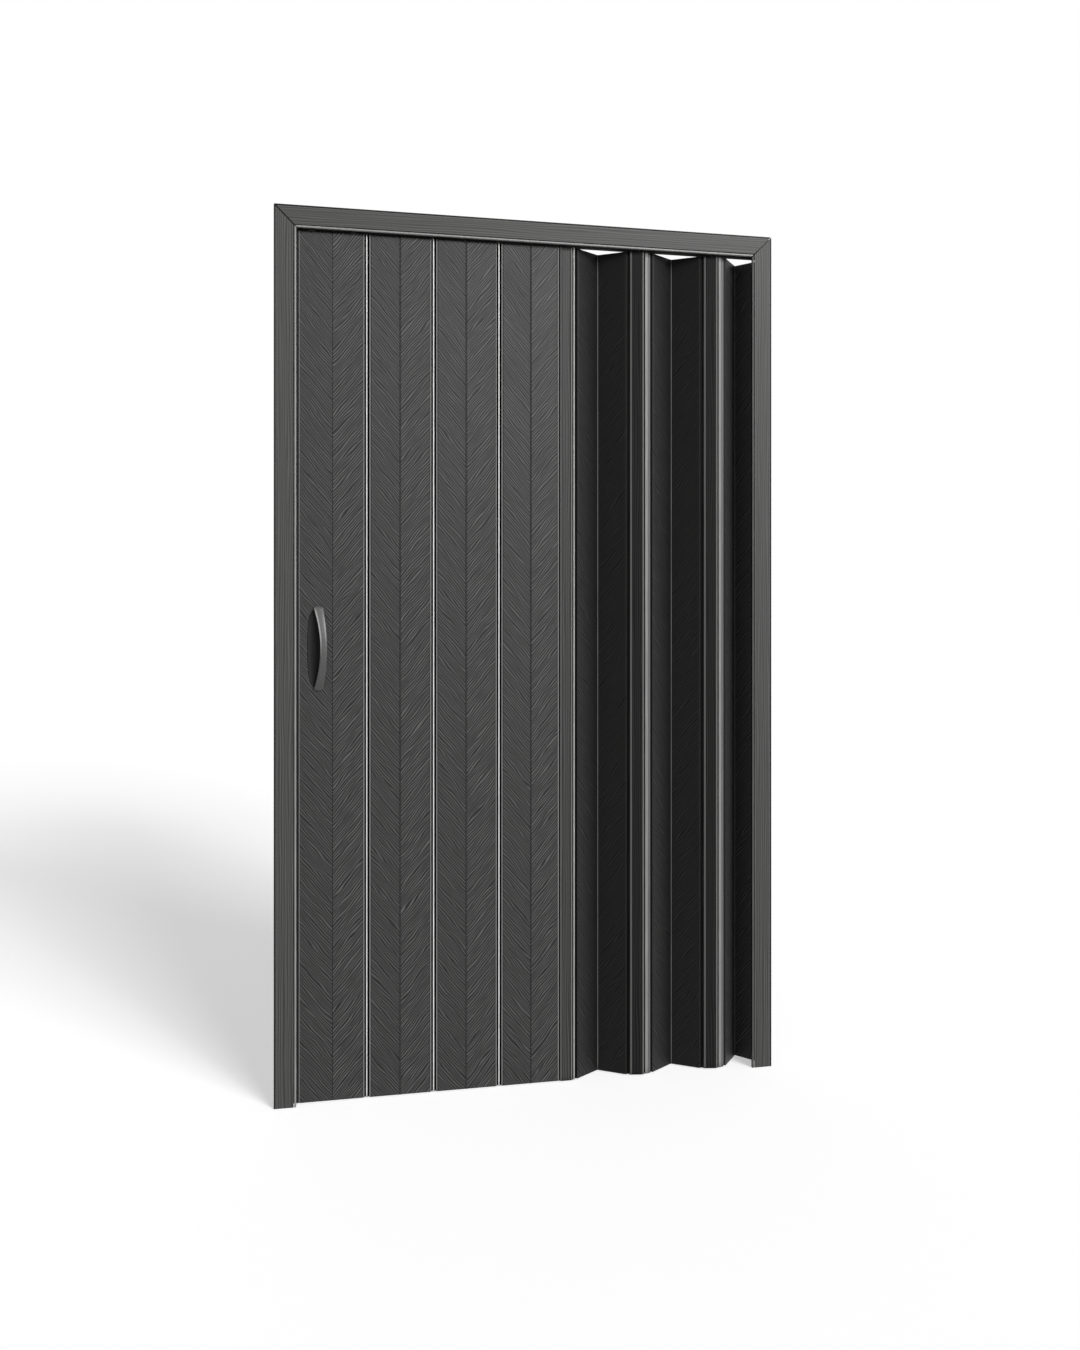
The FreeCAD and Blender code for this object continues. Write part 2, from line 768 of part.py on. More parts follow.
def make_glider(label, x, cranked):
    """Nylon glider: a disc that runs in the track and its pin.

    On a post or panel the pin stands on a small plate, and a tail under the plate sits in the bore.
    """
    seat = -(d.frame_wall + d.track_height) + d.track_wall + d.glider_lift
    disc_radius = d.track_width / 2 - d.track_wall - d.glider_play
    pin_radius = d.track_slot / 2 - d.glider_pin_play
    pieces = [
        cylinder(f"{label}_disc", disc_radius, d.glider_disc, (x, 0, seat)),
        cylinder(f"{label}_pin", pin_radius, seat - leaf_top, (x, 0, leaf_top)),
    ]
    if cranked:
        plate = doc.addObject("Part::Box", f"{label}_plate")
        plate.setExpression("Length", d.glider_plate.formula)
        plate.setExpression("Width", (d.leaf_thickness + pin_radius).formula)
        plate.setExpression("Height", d.glider_plate_height.formula)
        put(plate, x - d.glider_plate / 2, -d.leaf_thickness, leaf_top)
        tail = cylinder(f"{label}_tail", d.glider_tail_width / 2, d.glider_tail,
                        (x, -d.leaf_thickness / 2, leaf_top - d.glider_tail))
        pieces += [plate, tail]
    return fuse(label, pieces)


def make_gliders():
    """Hangers of the posts, of the flat seams and of the lead panel."""
    for label, place, width in (
        ("closing_post_glider", closing_left, d.closing_post_width),
        ("stack_left_glider", stack_1_left, d.stack_post_width),
        ("stack_right_glider", stack_2_left, d.stack_post_width),
    ):
        sub_parts.append(make_glider(label, place + width / 2, True))
    sub_parts.append(make_glider("seam_glider_2", seam_2, False))
    sub_parts.append(make_glider("seam_glider_3", seam_3, False))
    pair = []
    left = seam_1 - d.lead_panel_width + d.lead_glider_end
    for name, x in (("left", left), ("right", seam_1 - d.lead_glider_end)):
        pair.append(make_glider(f"lead_glider_{name}", x, True))
    group("lead_gliders", pair)


cup_middle = seam_1 - d.lead_panel_width + d.handle_inset
handle_middle = d.handle_height - d.frame_height
grip_left = cup_middle - d.grip_inset
grip_half_length = d.cup_half_height + d.cup_rim + d.grip_foot_gap + d.grip_foot
foot_middle = grip_half_length - d.grip_foot / 2
screw_x = grip_left + d.grip_width / 2


def oval(label, half_width, half_height, start, depth):
    """Upright oval plate from y = start to the rear."""
    outline = doc.addObject("Part::Ellipse", f"{label}_outline")
    outline.setExpression("MajorRadius", as_size(half_height).formula)
    outline.setExpression("MinorRadius", as_size(half_width).formula)
    upright = axes_turn((0, 0, 1), (1, 0, 0), (0, 1, 0))
    outline.Placement = FreeCAD.Placement(at(cup_middle, start, handle_middle), upright)
    plate = doc.addObject("Part::Extrusion", label)
    plate.Base = outline
    plate.DirMode = "Custom"
    plate.Dir = FreeCAD.Vector(0, 1, 0)
    plate.setExpression("LengthFwd", as_size(depth).formula)
    plate.Solid = True
    return plate


def make_lead_panel():
    """Rigid panel at the pulled end, hollow like the leaves, with the oval hole of the handle's cups."""
    width = d.lead_panel_width
    front = -d.leaf_thickness
    step = front + ridge_step()
    body = doc.addObject("PartDesign::Body", "lead_panel_blank")
    section = [
        (-width, front),
        (-d.ridge_room, front),
        (-d.ridge_room, step),
        (-d.ear_room, step),
        (-d.ear_room, 0),
        (-width, 0),
    ]
    pad_profile(body, "XY_Plane", [section], leaf_height)
    hollow = cells(d.leaf_cell_end, width - d.leaf_cell_end, PANEL_CELLS)
    cut_polygons(body, "XY_Plane", mirrored(hollow, -1), "cells")
    bore = d.glider_tail_width / 2 + d.glider_tail_play
    holes = [(0, 0, d.ridge_bulb + d.hinge_play)]
    for x in (d.lead_glider_end - width, -d.lead_glider_end):
        holes.append((x, front / 2, bore))
    cut_circles(body, "XY_Plane", holes, "hinge_and_glider_holes")
    screw = d.handle_screw / 2 + d.screw_play
    x = d.handle_inset - width - d.grip_inset + d.grip_width / 2
    middle = d.handle_height - d.floor_gap
    screws = [(x, middle - foot_middle, screw), (x, middle + foot_middle, screw)]
    cut_circles(body, "XZ_Plane", screws, "handle_screw_holes")
    put(body, seam_1, 0, leaf_low)
    play = d.cup_play
    hole = oval("cup_hole", d.cup_half_width + play, d.cup_half_height + play,
                -d.leaf_thickness - CUT_MARGIN, d.leaf_thickness + 2 * CUT_MARGIN)
    panel = doc.addObject("Part::Cut", "lead_panel")
    panel.Base = body
    panel.Tool = hole
    sub_parts.append(panel)


def make_lead_edge():
    """Closing profile in front of the lead panel, and the magnet strip on its edge."""
    inside = d.frame_wall + d.strike_thickness + d.closing_gap + d.magnet_thickness
    width = d.frame_face + d.edge_show - inside
    front = -d.leaf_thickness
    edge = new_body("lead_edge")
    pad_profile(edge, "XY_Plane", [rectangle(-width, front, 0, 0)], leaf_height)
    wall = d.leaf_wall
    cut_polygons(edge, "XY_Plane", [rectangle(wall - width, front + wall, -wall, -wall)], "cell")
    put(edge, seam_1 - d.lead_panel_width, 0, leaf_low)
    magnet = new_body("magnet_strip")
    pad_profile(magnet, "XY_Plane", [rectangle(-d.magnet_thickness, front, 0, 0)], leaf_height)
    put(magnet, seam_1 - d.lead_panel_width - width, 0, leaf_low)


def make_cup(name, facing):
    """Oval dished cup of the handle, let into the panel, with a thin rim on its face."""
    depth = d.leaf_thickness / 2 - d.cup_play / 2
    face = -d.leaf_thickness if facing < 0 else as_size(0)
    rim_start = face - d.cup_rim_thickness if facing < 0 else face
    tray_start = face if facing < 0 else face - depth
    rim = oval(f"cup_rim_{name}", d.cup_half_width + d.cup_rim, d.cup_half_height + d.cup_rim,
               rim_start, d.cup_rim_thickness)
    tray = oval(f"cup_tray_{name}", d.cup_half_width, d.cup_half_height, tray_start, depth)
    blank = fuse(f"cup_blank_{name}", [rim, tray])
    dish = doc.addObject("Part::Ellipsoid", f"cup_dish_{name}")
    dish.setExpression("Radius1", (depth + d.cup_rim_thickness - d.cup_floor).formula)
    dish.setExpression("Radius2", (d.cup_half_width - d.cup_floor).formula)
    dish.setExpression("Radius3", (d.cup_half_height - d.cup_floor).formula)
    across = axes_turn((1, 0, 0), (0, 0, 1), (0, -1, 0))
    front = face + facing * d.cup_rim_thickness
    dish.Placement = FreeCAD.Placement(at(cup_middle, front, handle_middle), across)
    cup = doc.addObject("Part::Cut", f"handle_cup_{name}")
    cup.Base = blank
    cup.Tool = dish
    sub_parts.append(cup)


def arc_wire(points):
    """Closed wire of three-point arcs and straight lines: an arc where three points are given."""
    edges = []
    for stretch in points:
        if len(stretch) == 3:
            edges.append(Part.Arc(*stretch).toShape())
        else:
            edges.append(Part.LineSegment(*stretch).toShape())
    return Part.Wire(edges)


def grip_shape(facing):
    """Bow of the handle: a bulging strap seen from the front, met with an arch seen from the side.

    The strap's feet stand on the panel's face, which lies at y = 0 here, and facing is the direction of y
    in which the bow rises.
    """
    half = grip_half_length.value
    width = d.grip_width.value
    bulge = d.grip_bulge.value
    rise = facing * d.grip_rise.value
    inner_rise = facing * (d.grip_rise.value - d.grip_thickness.value)
    foot = facing * d.grip_foot_height.value
    inner = half - d.grip_foot.value
    vector = FreeCAD.Vector
    strap = arc_wire([
        (vector(0, 0, -half), vector(bulge, 0, 0), vector(0, 0, half)),
        (vector(0, 0, half), vector(width, 0, half)),
        (vector(width, 0, half), vector(width + bulge, 0, 0), vector(width, 0, -half)),
        (vector(width, 0, -half), vector(0, 0, -half)),
    ])
    arch = arc_wire([
        (vector(0, foot, -half), vector(0, rise, 0), vector(0, foot, half)),
        (vector(0, foot, half), vector(0, 0, half)),
        (vector(0, 0, half), vector(0, 0, inner)),
        (vector(0, 0, inner), vector(0, inner_rise, 0), vector(0, 0, -inner)),
        (vector(0, 0, -inner), vector(0, 0, -half)),
        (vector(0, 0, -half), vector(0, foot, -half)),
    ])
    front_view = Part.Face(strap).extrude(vector(0, rise * 2, 0))
    side_view = Part.Face(arch).extrude(vector(width + bulge, 0, 0))
    return front_view.common(side_view).removeSplitter()


def make_grip(name, facing):
    """One grip with its screw holes: blind in the front grip, right through the rear one."""
    foot = d.grip_foot_height.value
    reach = d.handle_screw_bite.value if facing < 0 else 2 * foot
    shape = grip_shape(facing)
    for z in (-foot_middle.value, foot_middle.value):
        centre = FreeCAD.Vector(d.grip_width.value / 2, 0, z)
        radius = d.handle_screw.value / 2 + d.screw_play.value
        shape = shape.cut(Part.makeCylinder(radius, reach, centre, FreeCAD.Vector(0, facing, 0)))
    grip = doc.addObject("Part::Feature", f"handle_grip_{name}")
    grip.Shape = shape.Solids[0]
    face = -d.leaf_thickness if facing < 0 else 0
    put(grip, grip_left, face, handle_middle)
    sub_parts.append(grip)


def make_handle_screws():
    """Long screws through both grips and the panel."""
    screws = []
    shank_start = -(d.leaf_thickness + d.handle_screw_bite)
    length = d.handle_screw_bite + d.leaf_thickness + d.grip_foot_height
    for name, side in (("lower", -1), ("upper", 1)):
        place = (screw_x, shank_start, handle_middle + side * foot_middle)
        screws.append(cylinder(f"handle_screw_{name}", d.handle_screw / 2, length, place, (0, 1, 0)))
    group("handle_screws", screws)


def build():
    """Make every sub-part."""
    make_jamb("left_jamb", 1, d.frame_face)
    make_jamb("right_jamb", -1, d.rear_lip)
    make_header()
    make_corner_keys()
    make_track()
    make_track_screws()
    make_end_stops()
    make_strike()
    make_fixed_post()
    make_fixed_post_screws()
    make_lead_panel()
    make_lead_edge()
    for name, facing in (("front", -1), ("rear", 1)):
        make_cup(name, facing)
        make_grip(name, facing)
    make_handle_screws()
    for bay in BAYS:
        make_leaf(bay, "left", 1)
        make_leaf(bay, "right", -1)
        make_valley_bead(bay)
    for index, axis in enumerate((seam_1, seam_2, seam_3), start=1):
        make_seam_bead(index, axis)
    make_closing_post()
    make_stack_post("stack_post_left", stack_1_left)
    make_stack_post("stack_post_right", stack_2_left)
    make_gliders()
    doc.recompute()


def check():
    """Stop if any object failed or any sub-part has no sound shape."""
    for item in doc.Objects:
        if "Invalid" in item.State or "Error" in item.State:
            raise RuntimeError(f"{item.Name} failed: {item.State}")
    for piece in sub_parts:
        if piece.Shape.isNull() or not piece.Shape.isValid():
            raise RuntimeError(f"{piece.Label} has no sound shape")
        if not piece.Shape.Solids:
            raise RuntimeError(f"{piece.Label} holds no solid")


def write_parts():
    """Write each sub-part to its own file."""
    os.makedirs("parts", exist_ok=True)
    for piece in sub_parts:
        piece.Shape.exportStep(f"parts/{piece.Label}.step")


build()
check()
write_parts()
print(f"{len(sub_parts)} sub-parts, frame {frame_width.value:.1f} x {d.frame_height.value:.1f}"
      f" x {frame_depth.value:.1f} mm")
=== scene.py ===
"""Looks of the folding accordion door: grained skins, trims, handle, finishes, light and camera.

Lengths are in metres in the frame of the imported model: X to the right, Y to the rear and Z up.
"""
import json
import math
import bpy
import numpy as np
from bpy.props import FloatProperty, FloatVectorProperty, PointerProperty
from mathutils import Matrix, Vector
from mathutils.geometry import delaunay_2d_cdt


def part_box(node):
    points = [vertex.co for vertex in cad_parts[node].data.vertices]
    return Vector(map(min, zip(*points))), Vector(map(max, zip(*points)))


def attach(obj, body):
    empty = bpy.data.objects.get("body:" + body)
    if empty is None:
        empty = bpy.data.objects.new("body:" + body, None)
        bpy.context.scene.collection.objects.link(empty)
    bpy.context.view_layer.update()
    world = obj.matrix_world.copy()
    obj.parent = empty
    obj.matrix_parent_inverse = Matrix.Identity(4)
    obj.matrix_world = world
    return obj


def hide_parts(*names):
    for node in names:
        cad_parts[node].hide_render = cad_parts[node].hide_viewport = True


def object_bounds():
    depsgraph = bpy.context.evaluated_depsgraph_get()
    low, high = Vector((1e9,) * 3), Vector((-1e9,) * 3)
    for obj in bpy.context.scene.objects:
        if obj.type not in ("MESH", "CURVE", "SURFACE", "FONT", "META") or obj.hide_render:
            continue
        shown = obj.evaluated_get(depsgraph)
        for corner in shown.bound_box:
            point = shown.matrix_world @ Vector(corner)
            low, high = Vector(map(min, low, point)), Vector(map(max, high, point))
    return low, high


bl_info = {
    "name": "Accordion door looks",
    "version": (1, 0, 0),
    "blender": (4, 5, 0),
    "location": "3D View > Sidebar > Door",
    "description": "Builds the skins, trims and finishes of the folding door on its packed model",
    "category": "Object",
}

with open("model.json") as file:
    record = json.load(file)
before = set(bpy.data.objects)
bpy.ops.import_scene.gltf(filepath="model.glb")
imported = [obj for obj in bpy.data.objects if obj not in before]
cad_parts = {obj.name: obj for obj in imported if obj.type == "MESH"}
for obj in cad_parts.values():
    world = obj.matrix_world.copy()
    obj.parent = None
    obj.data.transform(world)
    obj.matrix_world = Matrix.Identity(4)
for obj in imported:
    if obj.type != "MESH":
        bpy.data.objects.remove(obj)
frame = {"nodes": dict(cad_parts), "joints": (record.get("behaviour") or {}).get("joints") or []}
CAD_BOX = [list(corner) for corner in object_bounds()]
JOINTS = {joint["name"]: joint for joint in frame["joints"]}


def node_box(name):
    """Lowest and highest corner of a CAD node."""
    return [np.array(corner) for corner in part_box(name)]


(LEFT, _, FLOOR), (RIGHT, _, TOP) = CAD_BOX
PANEL_LOW, PANEL_HIGH = node_box("lead_panel")
HEADER_LOW, HEADER_HIGH = node_box("header")
GRIP_LOW, GRIP_HIGH = node_box("handle_grip_front")
CUP_LOW, CUP_HIGH = node_box("handle_cup_front")
THICKNESS = PANEL_HIGH[1] - PANEL_LOW[1]
LEAF_FRONT = -THICKNESS
LEAF_LOW, LEAF_TOP = PANEL_LOW[2], PANEL_HIGH[2]
SEAM_1 = JOINTS["seam_1"]["pos_m"][0]
FRAME_FACE = HEADER_HIGH[2] - HEADER_LOW[2]
FRAME_DEPTH = HEADER_HIGH[1] - HEADER_LOW[1]
FRAME_FRONT, FRAME_REAR = -FRAME_DEPTH / 2, FRAME_DEPTH / 2

# Clearances and walls of the solids that the skins keep to.
RIDGE_ROOM = 0.0035
EAR_ROOM = 0.001
RIDGE_STEP = LEAF_FRONT + 0.0045
RIDGE_BULB = 0.002
RIDGE_NOTCH = 0.00205
VALLEY_BULB = 0.00125
VALLEY_NOTCH = 0.0013
VALLEY_ROOM = 0.0003
CELL_WALL = 0.0012
CELL_END = 0.006
POST_WALL = 0.0015
POST_BOSS = 0.0045
PIN_BORE = 0.0018
POST_LAP = 0.0095
FRAME_WALL = 0.003
FRAME_RETURN = 0.007
REAR_LIP = 0.012
CUP_RIM = 0.0015
CUP_PLAY = 0.0002

# Small forms of the skins. REAR_RISE is how much higher the header's rear edge stands than the solid's,
# and SEAM_STEP how much further from a seam's axis the leaf on its right ends.
REAR_RISE = 0.004
MITRE_GAP = 0.0011
SEAM_STEP = 0.0016
EDGE_EASE = 0.0009
GROOVE_WIDTH = 0.0011
GROOVE_SLOPE = 0.0003
GROOVE_DEPTH = 0.0005
FRAME_GROOVE = (0.0022, 0.0042)
FRAME_GROOVE_DEPTH = 0.0012
GROOVE_ROOM = 0.0001
GRAIN_FADE = 0.0015
VALLEY_BORDER = 0.0025
BACK_BORDER = 0.003
BACK_START = 0.0045
LEAD_BORDER = 0.003
OVAL_POWER = 0.74

# Faces of the skins: cells and longest edges of the sections, and rows along the profiles.
LEAF_CELLS = 3
PANEL_CELLS = 6
LEAF_EDGE = 0.0085
POST_EDGE = 0.002
FRAME_EDGE = 0.0019
LIP_EDGE = 0.003
STRIP_ROWS = 120
POST_ROWS = 160
FRAME_ROWS = 120

# What counts as lying on a level or a sloping face, as being level with an edge, as one point and, by its
# doubled area, as a sliver.
ON_FACE = 1e-7
ON_SLOPE = 2e-6
LEVEL = 1e-6
SAME_POINT = 1e-9
SLIVER = 1e-12

# Pressed grain: the width and the length of its streaks, and how far each leaf's grain is moved on.
BROAD_STREAK = (0.007, 0.07)
NARROW_CUT = (0.0034, 0.05)
STRAIGHT_STREAKS = ((0.0045, 0.28), (0.002, 0.11))
GRAIN_SHIFT = 3.7
PANEL_SHIFT = 1.7

# Seeds of the pressed grain, with the steps from one leaf to the next, from a leaf's front to its back
# and from one like profile to the next.
LEAF_SEED_STEP = 20
BACK_SEED_STEP = 7
PANEL_SEEDS = (301, 311)
FRAME_SEED = 500
CLOSING_SEED = 690
STACK_SEED = 700
SEED_STEP = 10

# The ridge hinges on the left and on the right of each bay, the flat bays, the folded bays, whose
# leaves take darker copies of the leaf finish as painted shade, and the last bay.
BAY_RIDGES = {
    2: ("seam_1", "seam_2"),
    3: ("seam_2", "seam_3"),
    4: ("seam_3", "curtain_fold"),
    5: ("ridge_5_left", "ridge_5_right"),
    6: ("ridge_6_left", "ridge_6_right"),
    7: ("ridge_7", "stack_fold"),
}
FLAT_BAYS = (2, 3, 4)
SHADED_BAYS = (5, 6)
LAST_BAY = 7

# The body that carries each seam bead and each stack post, and the hinge that it stands on.
SEAMS = {
    "seam_bead_1": ("lead", "seam_1"),
    "seam_bead_2": ("bay_2_right", "seam_2"),
    "seam_bead_3": ("bay_3_right", "seam_3"),
}
STACK_POSTS = {
    "stack_post_left": ("post_left", "ridge_5_right"),
    "stack_post_right": ("post_right", "ridge_6_right"),
}

# The small CAD pieces that only get a finish.
HIDDEN_FINISHES = {
    "aluminium": ("top_track",),
    "steel": ("track_screws", "fixed_post_screws", "handle_screws", "strike_strip"),
    "nylon": ("corner_keys", "track_end_stops", "seam_glider_2", "seam_glider_3", "lead_gliders",
              "closing_post_glider", "stack_left_glider", "stack_right_glider"),
    "magnet": ("magnet_strip",),
    # The lead edge takes a finish darker than the leaves: painted shade of the gap beside the jamb.
    "edge": ("lead_edge",),
    "shadow": ("fixed_hinge_post",),
}

# Places of the two lights and the point that they are turned to, the width of the camera's sensor in
# millimetres, and the floor's half size and its lines of points.
LIGHT_PLACES = {"key": (2.2, -3.3, 0.67), "second": (1.32, -3.3, 0.19)}
LIGHT_AIM = (0.0, 0.0, -1.1)
SENSOR_WIDTH = 36.0
FLOOR_REACH = 80.0
FLOOR_LINES = 7


def length_setting(name, description, value):
    """Setting for a length."""
    return FloatProperty(name=name, description=description, default=value, unit="LENGTH")


def angle_setting(name, description, degrees):
    """Setting for an angle."""
    return FloatProperty(name=name, description=description, default=math.radians(degrees), subtype="ANGLE")


def colour_setting(name, description, *colour):
    """Setting for a colour."""
    return FloatVectorProperty(name=name, description=description, size=3, subtype="COLOR", default=colour,
                               min=0, max=1)


class DoorShape(bpy.types.PropertyGroup):
    """Sizes of the grain and the trims."""

    grain_angle: angle_setting("Grain angle", "Slope of the chevron grain on the leaves", 50)
    leaf_relief: length_setting("Leaf relief", "Depth of the grain pressed into the leaves", 0.00018)
    frame_relief: length_setting("Frame relief", "Depth of the grain in the frame and the posts", 0.0002)
    leaf_row: length_setting("Leaf row", "Height of one row of faces on a leaf", 0.0026)
    seam_gap: length_setting("Seam gap", "Distance from a seam's axis to the leaf on its left", 0.0048)
    border: length_setting("Border", "Smooth strip along the ridge edge of a leaf", 0.003)
    lip_width: length_setting("Lip width", "Grey lip along the inner edges of the frame", 0.0042)
    lip_gap: length_setting("Lip gap", "Dark joint between a frame face and its lip", 0.0019)
    centre_groove: length_setting("Centre groove", "Depth of the lead panel's middle line", 0.0006)


class DoorFinish(bpy.types.PropertyGroup):
    """Colours of the door."""

    leaf: colour_setting("Leaves", "Graphite of the flat leaves", 0.0263, 0.0263, 0.0259)
    # The stack's darker graphite is painted shade; the folded leaves are the same plastic as the flat ones.
    stack: colour_setting("Stack", "Deeper graphite of the folded stack", 0.019, 0.019, 0.0187)
    frame: colour_setting("Frame", "Graphite of the frame and the closing post", 0.043, 0.043, 0.0418)
    seam: colour_setting("Seams", "Light grey of the strips between the flat bays", 0.72, 0.72, 0.71)
    nose: colour_setting("Noses", "Grey of the strips on the stack posts", 0.178, 0.178, 0.175)
    # The lips' light grey is a painted highlight of their rounded inner edges; the right jamb's lip gets a
    # darker, shaded copy instead.
    lip: colour_setting("Lips", "Grey of the lips inside the frame", 0.21, 0.21, 0.206)
    valley: colour_setting("Valleys", "Grey of the hinge beads in the valleys", 0.085, 0.085, 0.0838)
    grip: colour_setting("Grip", "Grey of the handle's bow", 0.066, 0.066, 0.0652)
    # The cup's near black is painted shade of its dished hollow.
    cup: colour_setting("Cup", "Near black of the handle's cup", 0.004, 0.004, 0.004)
    floor: colour_setting("Floor", "Pale floor", 0.97, 0.97, 0.97)


class DoorStage(bpy.types.PropertyGroup):
    """Camera and light."""

    camera_place: FloatVectorProperty(
        name="Camera", description="Place of the camera", size=3, subtype="XYZ", unit="LENGTH",
        default=(-0.5472, -2.7158, -0.9065))
    camera_turn: angle_setting("Camera turn", "Turn of the level camera to the right", 11.8)
    lens: FloatProperty(
        name="Lens", description="Focal length on a 36 mm sensor", default=30.95, unit="CAMERA")
    shift: FloatProperty(
        name="Shift", description="Upright shift of the lens, in sensor heights", default=-0.0527)
    key_strength: FloatProperty(
        name="Key", description="Strength of the key light from the front right", default=1.55)
    second_strength: FloatProperty(
        name="Second light", description="Strength of the second light, nearer the front", default=1.78)
    softness: angle_setting("Softness", "Angle that either light fills in the sky", 18)
    ambient: FloatProperty(
        name="Ambient", description="Strength of the light from all round", default=0.17)
    floor_glow: FloatProperty(
        name="Floor glow", description="White that the camera sees added to the floor", default=0.455)


def hinge(name):
    """Place of an upright hinge axis as x and y."""
    return np.array(JOINTS[name]["pos_m"][:2])


def noise(across, along, size, seed):
    """Smooth noise from 0 to 1: a seeded table of random numbers, one entry per width and length of the
    size, blended between its entries with the weight 3f^2 - 2f^3 of the fraction f in both directions."""
    entries = 256
    table = np.random.default_rng(seed).random((entries, entries))
    across, along = across / size[0], along / size[1]
    column = np.floor(across).astype(int)
    row = np.floor(along).astype(int)
    u = across - column
    v = along - row
    u = u * u * (3 - 2 * u)
    v = v * v * (3 - 2 * v)
    near, far = column % entries, (column + 1) % entries
    low, high = row % entries, (row + 1) % entries
    start = table[near, low] * (1 - u) + table[far, low] * u
    end = table[near, high] * (1 - u) + table[far, high] * u
    return start * (1 - v) + end * v


def chevron_grain(across, along, seed):
    """Depth of a leaf's grain from 0 to 0.8: a little of a broad noise, and narrow cuts where a second
    noise passes one half. Both are drawn out along the grain."""
    broad_share, cut_share, cut_start, cut_rise = 0.06, 0.74, 0.5, 0.3
    broad = noise(across, along, BROAD_STREAK, seed)
    narrow = noise(across, along, NARROW_CUT, seed + 1)
    cuts = np.clip((narrow - cut_start) / cut_rise, 0, 1)
    return broad_share * broad + cut_share * cuts


def straight_grain(across, along, seed):
    """Depth of the frame's and the posts' grain from 0 to 1: the mean of a broad and a narrow noise."""
    layers = [noise(across, along, size, seed + index) for index, size in enumerate(STRAIGHT_STREAKS)]
    return sum(layers) / len(layers)


def arc(centre, radius, start, end, steps):
    """Points on a circle round the centre, from the start angle to the end angle in degrees."""
    angle = np.radians(np.linspace(start, end, steps))
    return np.column_stack((centre[0] + radius * np.cos(angle), centre[1] + radius * np.sin(angle)))


def eased(rows, closed=False, steps=4):
    """Line through corners, given as rows of x, y and radius: a corner c becomes the curve
    (1 - t)^2 p + 2t(1 - t) c + t^2 q, where p and q lie the radius away from c on its two sides. The ends
    of an open line stay as they are."""
    rows = np.asarray(rows, float)
    points = rows[:, :2]
    before = np.roll(points, 1, axis=0) - points
    after = np.roll(points, -1, axis=0) - points
    start = points + before * rows[:, 2:] / np.linalg.norm(before, axis=1, keepdims=True)
    end = points + after * rows[:, 2:] / np.linalg.norm(after, axis=1, keepdims=True)
    t = np.linspace(0, 1, steps)[None, :, None]
    curves = (1 - t) ** 2 * start[:, None] + 2 * t * (1 - t) * points[:, None] + t ** 2 * end[:, None]
    if closed:
        return curves.reshape(-1, 2)
    return np.concatenate((points[:1], curves[1:-1].reshape(-1, 2), points[-1:]))


def divided(outline, longest):
    """Closed outline with every edge cut into equal parts no longer than the given length."""
    step = np.roll(outline, -1, axis=0) - outline
    count = np.maximum(np.ceil(np.linalg.norm(step, axis=1) / longest), 1).astype(int)
    edge = np.repeat(np.arange(len(outline)), count)
    part = np.arange(count.sum()) - np.repeat(np.cumsum(count) - count, count)
    return outline[edge] + step[edge] * (part / count[edge])[:, None]


def mirrored(outline, side):
    """The outline for side 1, and its mirror image in x, still anticlockwise, for side -1."""
    return outline if side > 0 else (outline * (-1, 1))[::-1]


def rectangle(x_low, y_low, x_high, y_high):
    """Anticlockwise corners of an upright rectangle."""
    return np.array([(x_low, y_low), (x_high, y_low), (x_high, y_high), (x_low, y_high)])


def cells(start, end, count):
    """Hollow cells of a leaf between two distances from its ridge axis."""
    width = (end - start - (count - 1) * CELL_WALL) / count
    lefts = start + np.arange(count) * (width + CELL_WALL)
    return [rectangle(x, LEAF_FRONT + CELL_WALL, x + width, -CELL_WALL) for x in lefts]


def band(value, low, high, fade=GRAIN_FADE):
    """Weight 1 between two values, fading to 0 at both."""
    return np.interp(value, (low, low + fade, high - fade, high), (0, 1, 1, 0))


def between(value, *stops):
    """Level that runs straight from stop to stop, each a value and its level, and stays level outside."""
    return np.interp(value, *zip(*stops))


def tube_quads(rows, count, start=0):
    """Faces between neighbouring rows of closed rings of points."""
    ring = np.arange(count)
    row = start + np.arange(rows - 1)[:, None] * count
    here = row + ring
    beside = row + np.roll(ring, -1)
    return np.stack((here, beside, beside + count, here + count), axis=-1).reshape(-1, 4)


def inside(points, outline):
    """Which points lie inside a closed outline: those with an odd count of its edges to their right."""
    x, y = points[:, :1], points[:, 1:]
    start_x, start_y = outline.T
    end_x, end_y = np.roll(outline, -1, axis=0).T
    crossed = (start_y > y) != (end_y > y)
    rise = np.where(start_y == end_y, 1.0, end_y - start_y)
    edge_x = start_x + (y - start_y) / rise * (end_x - start_x)
    return (crossed & (edge_x > x)).sum(axis=1) % 2 == 1


def doubled_area(points):
    """Twice the signed area of polygons, given as rows of points."""
    following = np.roll(points, -1, axis=-2)
    return (points[..., 0] * following[..., 1] - points[..., 1] * following[..., 0]).sum(axis=-1)


def filled(outlines):
    """Triangles that fill the first outline, in its own turning sense, and leave the others open."""
    points = np.concatenate(outlines)
    edges = []
    for outline in outlines:
        loop = len(edges) + np.arange(len(outline))
        edges += np.column_stack((loop, np.roll(loop, -1))).tolist()
    vectors = [Vector(point) for point in points.tolist()]
    _, _, faces, sources, _, _ = delaunay_2d_cdt(vectors, edges, [], 0, SAME_POINT)
    given = np.array([ids[0] for ids in sources])
    triangles = given[np.array(faces)]
    middle = points[triangles].mean(axis=1)
    area = doubled_area(points[triangles])
    kept = inside(middle, outlines[0]) & (np.abs(area) > SLIVER)
    for outline in outlines[1:]:
        kept &= ~inside(middle, outline)
    turned = area * doubled_area(outlines[0]) < 0
    triangles[turned] = triangles[turned][:, ::-1]
    return triangles[kept]


